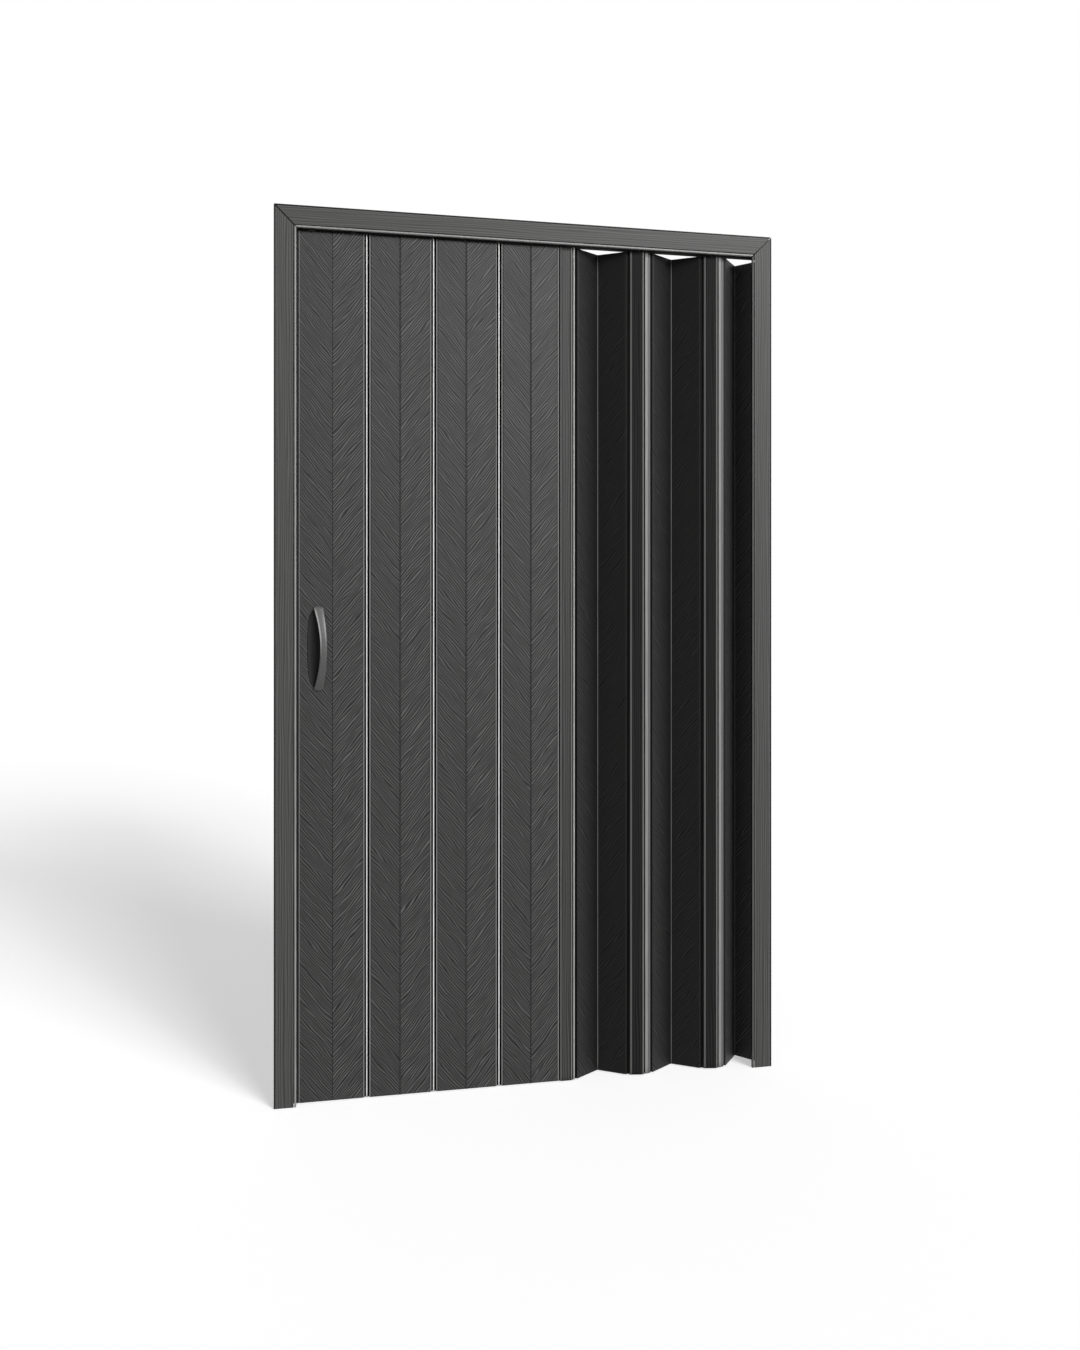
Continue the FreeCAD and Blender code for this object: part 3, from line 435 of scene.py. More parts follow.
def new_mesh(name, points, quads, triangles, **maps):
    """Mesh from whole arrays: points, four-sided faces shaded smooth and triangles shaded flat. Each map
    gives every point two numbers and is kept as the UV map of that name."""
    mesh = bpy.data.meshes.new(name)
    corners = np.concatenate((quads.ravel(), triangles.ravel())).astype(np.int32)
    starts = np.concatenate((np.arange(len(quads)) * 4, quads.size + np.arange(len(triangles)) * 3))
    smooth = np.concatenate((np.ones(len(quads), bool), np.zeros(len(triangles), bool)))
    mesh.vertices.add(len(points))
    mesh.vertices.foreach_set("co", points.astype(np.float32).ravel())
    mesh.loops.add(len(corners))
    mesh.loops.foreach_set("vertex_index", corners)
    mesh.polygons.add(len(starts))
    mesh.polygons.foreach_set("loop_start", starts.astype(np.int32))
    mesh.polygons.foreach_set("use_smooth", smooth)
    for map_name, values in maps.items():
        layer = mesh.uv_layers.new(name=map_name)
        layer.data.foreach_set("uv", values[corners].astype(np.float32).ravel())
    mesh.update(calc_edges=True)
    if mesh.validate():
        raise RuntimeError(f"{name}: faulty faces in its mesh")
    return mesh


def carried_mesh(name, outline, points, holes=(), hole_ends=(), **maps):
    """Closed mesh of an outline carried along a path, as rows of points, with its open cells: each hole
    has its own points at the first and at the last row, and both ends are filled round the holes."""
    rows, count = points.shape[:2]
    gathered = [points.reshape(-1, 3)]
    quads = [tube_quads(rows, count)]
    first = [np.arange(count)]
    last = [np.arange(count) + (rows - 1) * count]
    start = rows * count
    for ends in hole_ends:
        size = ends.shape[1]
        gathered.append(ends[:, ::-1].reshape(-1, 3))
        quads.append(tube_quads(2, size, start))
        first.append(start + np.arange(size)[::-1])
        last.append(start + size + np.arange(size)[::-1])
        start += 2 * size
    fill = filled([outline, *holes])
    first = np.concatenate(first)
    last = np.concatenate(last)
    triangles = np.concatenate((last[fill], first[fill][:, ::-1]))
    vertices = np.concatenate(gathered)
    spare = np.zeros((len(vertices) - rows * count, 2))
    padded = {key: np.concatenate((values.reshape(-1, 2), spare)) for key, values in maps.items()}
    return new_mesh(name, vertices, np.concatenate(quads), triangles, **padded)


def marked(painted_light, lit_streaks, shape):
    """Marks of a piece: the painted light from -1, full painted shade, to 1, a full painted highlight on an
    edge, and the share of brighter grain streaks, a painted highlight too."""
    marks = np.zeros((*shape, 2))
    marks[..., 0] = painted_light
    marks[..., 1] = lit_streaks
    return marks


def placed(outline, origin, turn):
    """The outline turned about the upright axis and moved to its origin."""
    cosine, sine = math.cos(turn), math.sin(turn)
    x, y = outline[..., 0], outline[..., 1]
    return np.stack((origin[0] + x * cosine - y * sine, origin[1] + x * sine + y * cosine), axis=-1)


def upright(name, outline, origin, turn=0.0, holes=(), lean=None, relief=None, rows=STRIP_ROWS,
            grain_turn=0.0, grain_shift=0.0, painted_light=0.0, lit_streaks=0.0):
    """Closed upright piece: the outline, in its own x and y, carried up the height of the leaves.

    Row s of the points stands at low + s (high - low) + lean f(s), where f eases from 0 at both ends to 1,
    so that rows can follow slanting grain. The relief moves each point of a row by a depth along y.
    The grain coordinates are x and z turned by the grain's slope: across = |x| sin a + z cos a and
    along = |x| cos a - z sin a, both moved on by the grain's shift, so that no two leaves look alike.
    """
    ease_share = 0.06
    count = len(outline)
    s = np.linspace(0, 1, rows)[:, None]
    z = LEAF_LOW + s * (LEAF_TOP - LEAF_LOW) + np.zeros((1, count))
    if lean is not None:
        ease = np.clip(np.minimum(s, 1 - s) / ease_share, 0, 1)
        z = z + lean * ease * ease * (3 - 2 * ease)
    x = np.broadcast_to(outline[:, 0], (rows, count))
    y = np.broadcast_to(outline[:, 1], (rows, count))
    reach = np.abs(x)
    across = reach * math.sin(grain_turn) + z * math.cos(grain_turn) + grain_shift
    along = reach * math.cos(grain_turn) - z * math.sin(grain_turn) + grain_shift
    if relief is not None:
        y = y + relief(across, along)
    flat = placed(np.stack((x, y), axis=-1), origin, turn)
    points = np.concatenate((flat, z[..., None]), axis=-1)
    hole_ends = []
    for hole in holes:
        at = placed(hole, origin, turn)
        hole_ends.append(np.stack([np.insert(at, 2, height, axis=1) for height in (LEAF_LOW, LEAF_TOP)]))
    return carried_mesh(name, outline, points, holes, hole_ends, grain=np.stack((across, along), axis=-1),
                        marks=marked(painted_light, lit_streaks, (rows, count)))


def show(mesh, material, body, slot, *nodes):
    """Put a finished mesh into the scene as a piece that rides on a body and stands for CAD nodes."""
    piece = bpy.data.objects.new(mesh.name, mesh)
    bpy.context.scene.collection.objects.link(piece)
    mesh.materials.append(material)
    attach(piece, body)
    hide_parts(*nodes)
    return piece


def leaf_groove(start):
    """Fine groove in a leaf's front, from its start towards +X."""
    end = start + GROOVE_WIDTH
    sunk = LEAF_FRONT + GROOVE_DEPTH
    return [(start, LEAF_FRONT), (start + GROOVE_SLOPE, sunk), (end - GROOVE_SLOPE, sunk),
            (end, LEAF_FRONT)]


def leaf_outline(pitch, border, room, rebate):
    """Section of a leaf from its ridge axis at 0, 0: rounded ridge edge, smooth border with a fine groove,
    grained front, round notches for both hinge beads, and a grained back. A rebate sinks the front from
    the ridge edge to where the post beside it ends."""
    rebate_width, rebate_slope, chamfer = 0.0044, 0.0004, 0.0004
    groove = max(room, rebate) + border
    grain_end = pitch - VALLEY_BORDER
    back_end = pitch - BACK_BORDER
    corner = pitch - VALLEY_ROOM
    sunk = LEAF_FRONT + EDGE_EASE
    lapped = [(rebate - rebate_width, sunk), (rebate - rebate_slope, sunk), (rebate, LEAF_FRONT)]
    outline = np.concatenate((
        arc((room + EDGE_EASE, sunk), EDGE_EASE, 180, 270, 5),
        (lapped if rebate else []) + leaf_groove(groove),
        [(groove + GROOVE_WIDTH + GRAIN_FADE, LEAF_FRONT), (grain_end - GRAIN_FADE, LEAF_FRONT),
         (grain_end, LEAF_FRONT)],
        arc((pitch, LEAF_FRONT), VALLEY_NOTCH, 180, 104, 6),
        [(corner, -chamfer), (corner - chamfer, 0), (back_end, 0), (back_end - GRAIN_FADE, 0),
         (BACK_START + GRAIN_FADE, 0), (BACK_START, 0)],
        arc((0, 0), RIDGE_NOTCH, 0, -60, 6),
        [(EAR_ROOM, RIDGE_STEP), (room, RIDGE_STEP)],
    ))
    return divided(outline, LEAF_EDGE)


def leaf_relief(y, front, back, depth, seeds):
    """Grain of a leaf, by the weights of its front and its back: on the front the cuts sink towards the
    rear, on the back towards the front."""
    front = np.where(np.abs(y - LEAF_FRONT) < ON_FACE, front, 0.0)
    back = np.where(np.abs(y) < ON_FACE, back, 0.0)

    def sink(across, along):
        """Depth of each point along y."""
        return depth * (front * chevron_grain(across, along, seeds[0])
                        - back * chevron_grain(across, along, seeds[1]))

    return sink


def edge_painted_light(reach, y, edge, border, painted_highlight=0.75):
    """Painted light of a leaf beside its ridge: a painted highlight on the front corner and a weaker one on
    the smooth border, and painted shade in the groove behind the border and on the side of the leaf."""
    corner_end, border_start, border_share = 0.0007, 0.0016, 0.3
    groove_reach, groove_top, shade_end = 0.001, LEAF_FRONT + 0.0004, -0.0005
    corner = np.interp(reach, (edge + corner_end, edge + border_start), (painted_highlight, border_share * painted_highlight))
    on_border = (reach < edge + border + LEVEL) & (y < groove_top)
    in_shade = (reach < edge + border + groove_reach) & (y > groove_top) & (y < shade_end)
    return np.where(on_border, corner, np.where(in_shade, -1.0, 0.0))


class DOOR_OT_leaves(bpy.types.Operator):
    """Build the twelve folding leaves with their chevron grain."""

    bl_idname = "door.leaves"
    bl_label = "Folding leaves"

    def execute(self, context):
        leaves = [(bay, side, ridge) for bay, ridges in BAY_RIDGES.items()
                  for side, ridge in zip((1, -1), ridges)]
        for index, leaf in enumerate(leaves):
            self.leaf(context.scene.door_shape, index, *leaf)
        return {"FINISHED"}

    def leaf(self, shape, index, bay, side, ridge_name):
        """One leaf of a bay: side 1 lies to the right of its ridge, side -1 to the left of it."""
        flat_highlight, folded_highlight, painted_shade, last_painted_shade = 0.75, 0.1, 0.9, 0.5
        side_name = "left" if side > 0 else "right"
        which = f"{bay}_{side_name}"
        ridge = hinge(ridge_name)
        arm = hinge(f"valley_{bay}") - ridge
        pitch = math.sqrt(arm @ arm - THICKNESS ** 2)
        turn = math.atan2(arm[1], arm[0]) - math.atan2(LEAF_FRONT, side * pitch)
        flat = bay in FLAT_BAYS
        room = RIDGE_ROOM
        if ridge_name.startswith("seam"):
            # Beside a seam the leaves stand further off, which shows as two dark gaps.
            room = shape.seam_gap if side < 0 else shape.seam_gap + SEAM_STEP
        rebate = POST_LAP if ridge_name == "curtain_fold" else 0.0
        edge = max(room, rebate)
        outline = mirrored(leaf_outline(pitch, shape.border, room, rebate), side)
        spaces = cells(max(CELL_END, room + CELL_WALL), pitch - CELL_END, LEAF_CELLS)
        reach, y = np.abs(outline[:, 0]), outline[:, 1]
        grain_end = pitch - VALLEY_BORDER
        seed = LEAF_SEED_STEP * index
        relief = leaf_relief(y, band(reach, edge + shape.border + GROOVE_WIDTH, grain_end),
                             band(reach, BACK_START, grain_end), shape.leaf_relief,
                             (seed, seed + BACK_SEED_STEP))
        painted_light = edge_painted_light(reach, y, edge, shape.border, flat_highlight if flat else folded_highlight)
        if side > 0 and not flat:
            # Painted shade darkens a folded leaf towards its valley.
            valley_shade = last_painted_shade if bay == LAST_BAY else painted_shade
            painted_light = np.minimum(painted_light, -valley_shade * reach / pitch)
        # The right-hand leaves, except in the last bay, get brighter grain streaks: a painted highlight of
        # light catching their grain.
        mesh = upright(f"leaf_{which}_skin", outline, ridge, turn,
                       [mirrored(space, side) for space in spaces],
                       lean=math.tan(shape.grain_angle) * (pitch / 2 - reach), relief=relief,
                       rows=int((LEAF_TOP - LEAF_LOW) / shape.leaf_row), grain_turn=shape.grain_angle,
                       grain_shift=GRAIN_SHIFT * index, painted_light=painted_light,
                       lit_streaks=1.0 if side < 0 and bay != LAST_BAY else 0.0)
        # The folded bays take darker copies of the leaf finish as painted shade, the darkest for the
        # right-hand leaves, which face away from the light.
        tone = f"stack_{side_name}" if bay in SHADED_BAYS else "leaf"
        show(mesh, finish(tone), f"bay_{which}", "leaf_pvc", f"leaf_{which}")


class DOOR_OT_lead_panel(bpy.types.Operator):
    """Build the lead panel with its chevron grain, its middle line and the hole of the handle's cups."""

    bl_idname = "door.lead_panel"
    bl_label = "Lead panel"

    def execute(self, context):
        shape = context.scene.door_shape
        line_half, line_depth, line_border, line_shade = 0.0008, 0.001, 0.0015, -0.75
        left_room, left_lit_border = 0.0012, 0.0022
        width = SEAM_1 - PANEL_LOW[0]
        half = width / 2
        left_edge = left_room - half
        right_edge = half - shape.seam_gap
        groove = right_edge - shape.border - GROOVE_WIDTH
        outline = self.outline(half, left_edge, right_edge, groove, shape.centre_groove)
        x, y = outline.T
        reach = np.abs(x)
        front = np.where(x > 0, band(reach, line_border, groove),
                         band(reach, line_border, half - LEAD_BORDER))
        back = band(reach, line_border, half - BACK_START)
        # Painted highlights on the corners beside both edges, and painted shade in the grooves and on the
        # sides there.
        painted_light = np.where(x > 0, edge_painted_light(half - x, y, shape.seam_gap, shape.border),
                        edge_painted_light(x - left_edge, y, 0.0, left_lit_border))
        # The middle line is darkened with painted shade.
        painted_light = np.where((reach < line_half) & (y < LEAF_FRONT + line_depth), line_shade, painted_light)
        spaces = cells(CELL_END, width - CELL_END, PANEL_CELLS)
        # The right half of the panel gets the same brighter streaks, a painted highlight.
        mesh = upright("lead_panel_skin", outline, (SEAM_1 - half, 0), 0.0,
                       [space - (half, 0) for space in spaces],
                       lean=math.tan(shape.grain_angle) * (reach - half / 2),
                       relief=leaf_relief(y, front, back, shape.leaf_relief, PANEL_SEEDS),
                       rows=int((LEAF_TOP - LEAF_LOW) / shape.leaf_row), grain_turn=-shape.grain_angle,
                       grain_shift=np.where(x > 0, PANEL_SHIFT, 0.0), painted_light=painted_light,
                       lit_streaks=np.where(x > 0, 1.0, 0.0))
        panel = show(mesh, finish("leaf"), "lead", "leaf_pvc", "lead_panel")
        self.cut_cup_hole(panel)
        return {"FINISHED"}

    def outline(self, half, left_edge, right_edge, groove, line):
        """Section drawn round the middle of the panel, so that the grain meets there: on its front a flat
        line with sloping sides, on its back a notch."""
        chamfer = 0.0005
        line_right = np.array([(0.0007, line), (0.0011, 0), (0.0016, 0), (0.003, 0)])
        notch_right = np.array([(0.003, 0), (0.0015, 0), (0.0007, 0)])
        flip = (-1, 1)
        sunk = LEAF_FRONT + EDGE_EASE
        section = np.concatenate((
            arc((left_edge + EDGE_EASE, sunk), EDGE_EASE, 180, 270, 5),
            [(left_edge + LEAD_BORDER, LEAF_FRONT), (left_edge + LEAD_BORDER + GRAIN_FADE, LEAF_FRONT)],
            np.concatenate((line_right[::-1] * flip, line_right)) + (0, LEAF_FRONT),
            [(groove - GRAIN_FADE, LEAF_FRONT)] + leaf_groove(groove),
            arc((right_edge - EDGE_EASE, sunk), EDGE_EASE, 270, 360, 5),
            [(right_edge, RIDGE_STEP), (half - EAR_ROOM, RIDGE_STEP)],
            arc((half, 0), RIDGE_NOTCH, 240, 180, 6),
            [(half - BACK_START, 0), (half - BACK_START - GRAIN_FADE, 0)],
            notch_right, [(0, -line)], notch_right[::-1] * flip,
            [(BACK_BORDER + GRAIN_FADE - half, 0), (BACK_BORDER - half, 0), (chamfer - half, 0),
             (-half, -chamfer)],
        ))
        return divided(section, LEAF_EDGE)

    def cut_cup_hole(self, panel):
        """Cut the oval hole of the two cups right through the panel's mesh."""
        steps, reach = 96, 0.02
        middle, half = cup_oval()
        oval = middle + half * round_oval(np.linspace(0, 2 * math.pi, steps, endpoint=False))
        points = np.stack([np.insert(oval, 1, y, axis=1) for y in (reach, -reach)])
        cutter_mesh = carried_mesh("cup_hole", oval, points)
        cutter = bpy.data.objects.new("cup_hole", cutter_mesh)
        bpy.context.scene.collection.objects.link(cutter)
        cut = panel.modifiers.new("cup_hole", "BOOLEAN")
        cut.operation = "DIFFERENCE"
        cut.solver = "EXACT"
        cut.object = cutter
        evaluated = panel.evaluated_get(bpy.context.evaluated_depsgraph_get())
        finished = bpy.data.meshes.new_from_object(evaluated)
        panel.modifiers.remove(cut)
        blank = panel.data
        panel.data = finished
        bpy.data.meshes.remove(blank)
        bpy.data.objects.remove(cutter)
        bpy.data.meshes.remove(cutter_mesh)
        finished.name = "lead_panel_skin"


def cup_oval():
    """Middle of the oval cup in x and z, and the half sizes of the hole that it sits in."""
    middle = (CUP_LOW + CUP_HIGH) / 2
    half = (CUP_HIGH - CUP_LOW) / 2 - CUP_RIM
    return middle[[0, 2]], half[[0, 2]] + CUP_PLAY


def round_oval(angle):
    """Points of an oval with full ends, of half sizes 1: x = c |c|^(k - 1) and z = s |s|^(k - 1), where c
    and s are the angle's cosine and sine and k is the oval's power."""
    circle = np.column_stack((np.cos(angle), np.sin(angle)))
    return np.sign(circle) * np.abs(circle) ** OVAL_POWER


def channel(front_end, rear_end):
    """Section of a frame profile from the wall at x = 0: front flange with a fine groove along its outer
    edge, wall and rear flange."""
    groove_start, groove_end = FRAME_GROOVE
    groove_floor = FRAME_FRONT + FRAME_GROOVE_DEPTH
    inner_front = FRAME_FRONT + FRAME_WALL
    inner_rear = FRAME_REAR - FRAME_WALL
    corners = [
        (0, FRAME_FRONT, 0.0008),
        (groove_start, FRAME_FRONT, 0.0003),
        (groove_start, groove_floor, 0.0002),
        (groove_end, groove_floor, 0.0002),
        (groove_end, FRAME_FRONT, 0.0004),
        (front_end, FRAME_FRONT, 0.0005),
        (front_end, inner_front, 0.0004),
        (FRAME_WALL, inner_front, 0.0006),
        (FRAME_WALL, inner_rear, 0.0006),
        (rear_end, inner_rear, 0.0004),
        (rear_end, FRAME_REAR, 0.0008),
        (0, FRAME_REAR, 0.0014),
    ]
    return divided(eased(corners, closed=True), FRAME_EDGE)


def lip(start):
    """Section of the rounded lip with its turned-in edge that closes a front flange."""
    corners = [
        (start, FRAME_FRONT, 0.0008),
        (FRAME_FACE, FRAME_FRONT, 0.0013),
        (FRAME_FACE, FRAME_FRONT + FRAME_RETURN, 0.0008),
        (FRAME_FACE - FRAME_WALL, FRAME_FRONT + FRAME_RETURN, 0.0006),
        (FRAME_FACE - FRAME_WALL, FRAME_FRONT + FRAME_WALL, 0.0002),
        (start, FRAME_FRONT + FRAME_WALL, 0.0002),
    ]
    return divided(eased(corners, closed=True, steps=5), LIP_EDGE)


def frame_painted_light(v, y):
    """Painted light of a frame profile: painted highlights on its front beside the groove and beside its
    inner edge, and painted shade in the groove and on the side of the inner edge."""
    painted_highlight, highlight_end, groove_highlight, edge_highlight = 0.3, 0.0022, 0.0003, 0.0006
    painted_shade, front_depth, shade_depth, side_width = -0.95, 0.0006, 0.0016, 0.001
    inner = v.max()
    groove_end = FRAME_GROOVE[1]
    beside_groove = np.interp(v, (groove_end + groove_highlight, groove_end + highlight_end), (painted_highlight, 0.0))
    beside_edge = np.interp(v, (inner - highlight_end, inner - edge_highlight), (0.0, painted_highlight))
    on_front = y < FRAME_FRONT + front_depth
    painted_light = np.where(on_front, np.maximum(beside_groove, beside_edge), 0.0)
    in_groove = (v < groove_end + GROOVE_ROOM) & (y < FRAME_FRONT + shade_depth)
    painted_light = np.where(in_groove, painted_shade, painted_light)
    return np.where((v > inner - side_width) & ~on_front & (y < 0), -1.0, painted_light)


def frame_member(name, member, section, relief, seed):
    """Frame profile carried between its ends: a point of the section at the distance v from the wall
    stands at start + s (end - start), where start and end follow the mitres. Straight grain sinks into
    the front face, and the mitres are darkened with painted shade."""
    end_rows = np.array((0.0, 0.0006, 0.0016, 0.0034))
    end_share, edge_smooth, edge_fade = 0.005, 0.0004, 0.001
    shade_full, shade_end = 0.0006, 0.0017
    v, y = section.T
    end = TOP - v - MITRE_GAP
    start = np.full_like(v, FLOOR)
    if member == "header":
        # The rear flange runs on past the mitre to the short rear lip of the right jamb.
        end = RIGHT - np.where(y > 0, np.minimum(v, REAR_LIP), v) - MITRE_GAP
        start = LEFT + v + MITRE_GAP
    length = (end - start).max()
    s = np.concatenate((end_rows / length, np.linspace(end_share, 1 - end_share, FRAME_ROWS),
                        1 - end_rows[::-1] / length))[:, None]
    along = start + s * (end - start)
    across = np.broadcast_to(v + y, along.shape)
    weight = np.where(np.abs(y - FRAME_FRONT) < ON_FACE,
                      band(v, FRAME_GROOVE[1] + GROOVE_ROOM, v.max() - edge_smooth, edge_fade), 0.0)
    sunk = y + relief * weight * straight_grain(across, along, seed)
    # The mitres are darkened with painted shade.
    mitre_shade = np.interp((1 - s) * length, (shade_full, shade_end), (1.0, 0.0))
    if member == "header":
        mitre_shade = mitre_shade + np.interp(s * length, (shade_full, shade_end), (1.0, 0.0))
        places = (along, sunk, TOP - v)
    else:
        places = (LEFT + v if member == "left_jamb" else RIGHT - v, sunk, along)
    painted_light = frame_painted_light(v, y) * (1 - mitre_shade) - mitre_shade
    return carried_mesh(name, section, np.stack(np.broadcast_arrays(*places), axis=-1),
                        grain=np.stack((across, along), axis=-1), marks=marked(painted_light, 0.0, along.shape))


class DOOR_OT_frame(bpy.types.Operator):
    """Build the two jambs and the header with their mitred corners and their grey lips."""

    bl_idname = "door.frame"
    bl_label = "Frame"

    def execute(self, context):
        shape = context.scene.door_shape
        lip_start = FRAME_FACE - shape.lip_width
        rear_ends = {"left_jamb": FRAME_FACE, "right_jamb": REAR_LIP, "header": FRAME_FACE - REAR_RISE}
        for index, (member, rear_end) in enumerate(rear_ends.items()):
            # The right jamb is the mirror image, so its outline runs the other way.
            turned = -1 if member == "right_jamb" else 1
            seed = FRAME_SEED + SEED_STEP * index
            skin = channel(lip_start - shape.lip_gap, rear_end)[::turned]
            mesh = frame_member(member + "_skin", member, skin, shape.frame_relief, seed)
            show(mesh, finish("frame"), "frame", "frame_pvc", member)
            # The lips of the left jamb and the header are light grey, a painted highlight of their rounded
            # inner edge; the right jamb's lip takes a darker, shaded copy.
            mesh = frame_member(member + "_lip", member, lip(lip_start)[::turned], 0.0, seed)
            show(mesh, finish("jamb_lip" if turned < 0 else "lip"), "frame", "seam_pvc", member)
        return {"FINISHED"}


class DOOR_OT_beads(bpy.types.Operator):
    """Build the light seam beads and the round beads in the valleys."""

    bl_idname = "door.beads"
    bl_label = "Hinge beads"

    def execute(self, context):
        middle, half, height, web = 0.0008, 0.0019, 0.0016, 0.0006
        flank_start, flank_end, sunk = 0.3, 0.5, 0.0011
        back = LEAF_FRONT + sunk
        nose = arc((0, 0), 1.0, 180, 360, 15) * (half, height) + (middle, back)
        side = math.degrees(math.asin(web / RIDGE_BULB))
        bulb = arc((0, 0), RIDGE_BULB, side - 90, 270 - side, 17)
        outline = np.concatenate((nose, [(web, back)], bulb, [(-web, back)]))
        x, y = outline.T
        # The right flank of the nose and the web and bulb behind it are darkened with painted shade.
        flank_shade = np.interp((x - middle) / half, (flank_start, flank_end), (0.0, -1.0))
        painted_light = np.where(y > back + LEVEL, -1.0, flank_shade)
        for name, (body, axis) in SEAMS.items():
            mesh = upright(name + "_strip", outline, hinge(axis), painted_light=painted_light)
            show(mesh, finish("seam"), body, "seam_pvc", name)
        bead = arc((0, 0), VALLEY_BULB, 0, 345, 24)
        for bay in BAY_RIDGES:
            name = f"valley_bead_{bay}"
            mesh = upright(name + "_strip", bead, hinge(f"valley_{bay}"))
            tone = "flat_valley" if bay in FLAT_BAYS else "valley"
            show(mesh, finish(tone), f"bay_{bay}_right", "valley_pvc", name)
        return {"FINISHED"}


def slope_relief(outline, normal, level, start, end, depth, seed):
    """Straight grain on the flat face whose points lie at the level along its normal: it sinks by up to
    the depth, towards the rear."""
    on_face = np.abs(outline @ np.array(normal) - level) < ON_SLOPE
    weight = np.where(on_face, band(outline[:, 0], start, end), 0.0)

    def sink(across, along):
        """Depth of each point along y."""
        return depth * weight * straight_grain(across, along, seed)

    return sink


class DOOR_OT_posts(bpy.types.Operator):
    """Build the closing post, the two roof-fronted stack posts and their light noses."""

    bl_idname = "door.posts"
    bl_label = "Posts"

    def execute(self, context):
        depth = context.scene.door_shape.frame_relief
        self.closing_post(depth)
        for index, (name, (body, axis)) in enumerate(STACK_POSTS.items()):
            self.stack_post(name, body, hinge(axis), depth, STACK_SEED + SEED_STEP * index)
        return {"FINISHED"}

    def bulb(self, x, start, end):
        """Round hinge bulb of a post."""
        return arc((x, 0), RIDGE_BULB, start, end, 15)

    def bore(self, x):
        """Round bore of a glider's pin."""
        return arc((x, LEAF_FRONT / 2), PIN_BORE, 0, 337.5, 16)

    def skin(self, name, body, tone, outline, origin, holes, relief, painted_light):
        """Put the grained skin of a post into the scene."""
        mesh = upright(name + "_skin", outline, origin, 0.0, holes, relief=relief, rows=POST_ROWS,
                       grain_turn=math.pi / 2, painted_light=painted_light)
        show(mesh, finish(tone), body, "frame_pvc", name)

    def nose(self, name, body, tone, outline, origin, painted_light):
        """Put the nose strip of a post into the scene."""
        mesh = upright(name + "_nose_strip", outline, origin, painted_light=painted_light)
        show(mesh, finish(tone), body, "seam_pvc", name + "_nose")

    def closing_post(self, depth):
        """Plain post: flat grained front with a fine flute along each edge, and a nose strip on its right
        with a joint between them. The front outside the flutes carries painted highlights, and its sides
        and the joint painted shade. The section starts at the post's left edge."""
        lip_depth, joint, nose_inset, smooth = 0.002, 0.0036, 0.0016, 0.001
        flute, flute_width, flute_depth, flute_ease = 0.0030, 0.0014, 0.0009, 0.0003
        painted_highlight, front_depth, seat_room, nose_front = 0.5, 0.0004, 0.0001, 0.0006
        low = node_box("closing_post")[0]
        nose_low, nose_high = node_box("closing_post_nose")
        axis = hinge("curtain_fold")
        origin = np.array((low[0], axis[1]))
        left = axis[0] - low[0]
        right = hinge("ridge_5_left")[0] - low[0]
        front = low[1]
        seat = nose_high[1]
        nose = nose_low[0] - low[0] + nose_inset
        nose_end = nose_high[0] - low[0]
        face_end = nose - joint
        edge = right - RIDGE_ROOM
        flutes = []
        for start in (flute, face_end - flute - flute_width):
            flutes += [(start, front, flute_ease),
                       (start + flute_width / 2, front + flute_depth, flute_ease),
                       (start + flute_width, front, flute_ease)]
        face = eased([
            (left + EAR_ROOM, front + lip_depth, 0),
            (0, front + lip_depth, 0.0006),
            (0, front, 0.0008),
            *flutes,
            (face_end, front, 0.0005),
            (face_end, seat, 0.0004),
            (edge, seat, 0.0008),
            (edge, -RIDGE_BULB, 0.0006),
            (right, -RIDGE_BULB, 0),
        ])
        outline = np.concatenate((face[:-1], self.bulb(right, -90, 180), self.bulb(left, 0, 300)))
        outline = divided(outline, POST_EDGE)
        middle = (left + right) / 2
        holes = [rectangle(middle + POST_BOSS, LEAF_FRONT + POST_WALL, edge - POST_WALL, -POST_WALL),
                 self.bore(middle)]
        relief = slope_relief(outline, (0, 1), front, smooth, face_end - smooth, depth, CLOSING_SEED)
        x, y = outline.T
        ribs = np.interp(x, (flute - smooth, flute, face_end - flute, face_end - flute + smooth),
                         (painted_highlight, 0.0, 0.0, painted_highlight))
        # Painted highlights on the front outside the flutes, and painted shade on the sides and in the
        # joint.
        painted_light = np.where(y < front + front_depth, ribs, np.where(y < seat + seat_room, -1.0, 0.0))
        self.skin("closing_post", "post_closing", "post", outline, origin, holes, relief, painted_light)
        strip = eased([(nose, front, 0.0007), (nose_end, front, 0.0012), (nose_end, seat, 0.0004),
                       (nose, seat, 0.0003)], closed=True)
        # The nose strip is darkened with painted shade on all but its front.
        sides = (strip[:, 1] > front + nose_front) | (strip[:, 0] > nose_end - nose_front)
        self.nose("closing_post", "post_closing", "seam", strip, origin, np.where(sides, -1.0, 0.0))

    def stack_post(self, name, body, axis, depth, seed):
        """Roof-fronted post: a bead along its left edge, a grained slope up to the ridge, a narrow rib
        behind the ridge, a joint, and the nose strip down the other slope. The slope up to the bead and the
        rib carry painted highlights, the bead's groove, the rib's end and the joint painted shade, and the
        nose strip is darker past its step and in painted shade on its left side. The section starts at its
        left hinge axis."""
        rib, joint, ear_front = 0.0058, 0.0028, -0.00173
        bead, bead_slope, bead_width, bead_depth = 0.0066, 0.0006, 0.0014, 0.0009
        step_reach, step_slope, step_depth, nose_reach = 0.0075, 0.0003, 0.0008, 0.0018
        bead_front, rib_room, seat_room = 0.0008, 0.0001, 0.0003
        step_darkening, nose_front, nose_side = -0.55, 0.0006, 0.001
        cell_inset, cell_sunk, smooth = 0.0035, 0.0016, 0.001
        low, high = node_box(name + "_nose")
        start, edge = low[0] - axis[0], high[0] - axis[0]
        width = edge + EAR_ROOM
        ridge, back = low[1], LEAF_FRONT
        thick = high[1] - back
        climb = (ridge - back) / (start - EAR_ROOM)
        fall = (back - ridge) / (edge - start)

        def left_slope(x):
            """Y of the slope up to the ridge."""
            return back + climb * (x - EAR_ROOM)

        def right_slope(x):
            """Y of the slope down from the ridge."""
            return ridge + fall * (x - start)

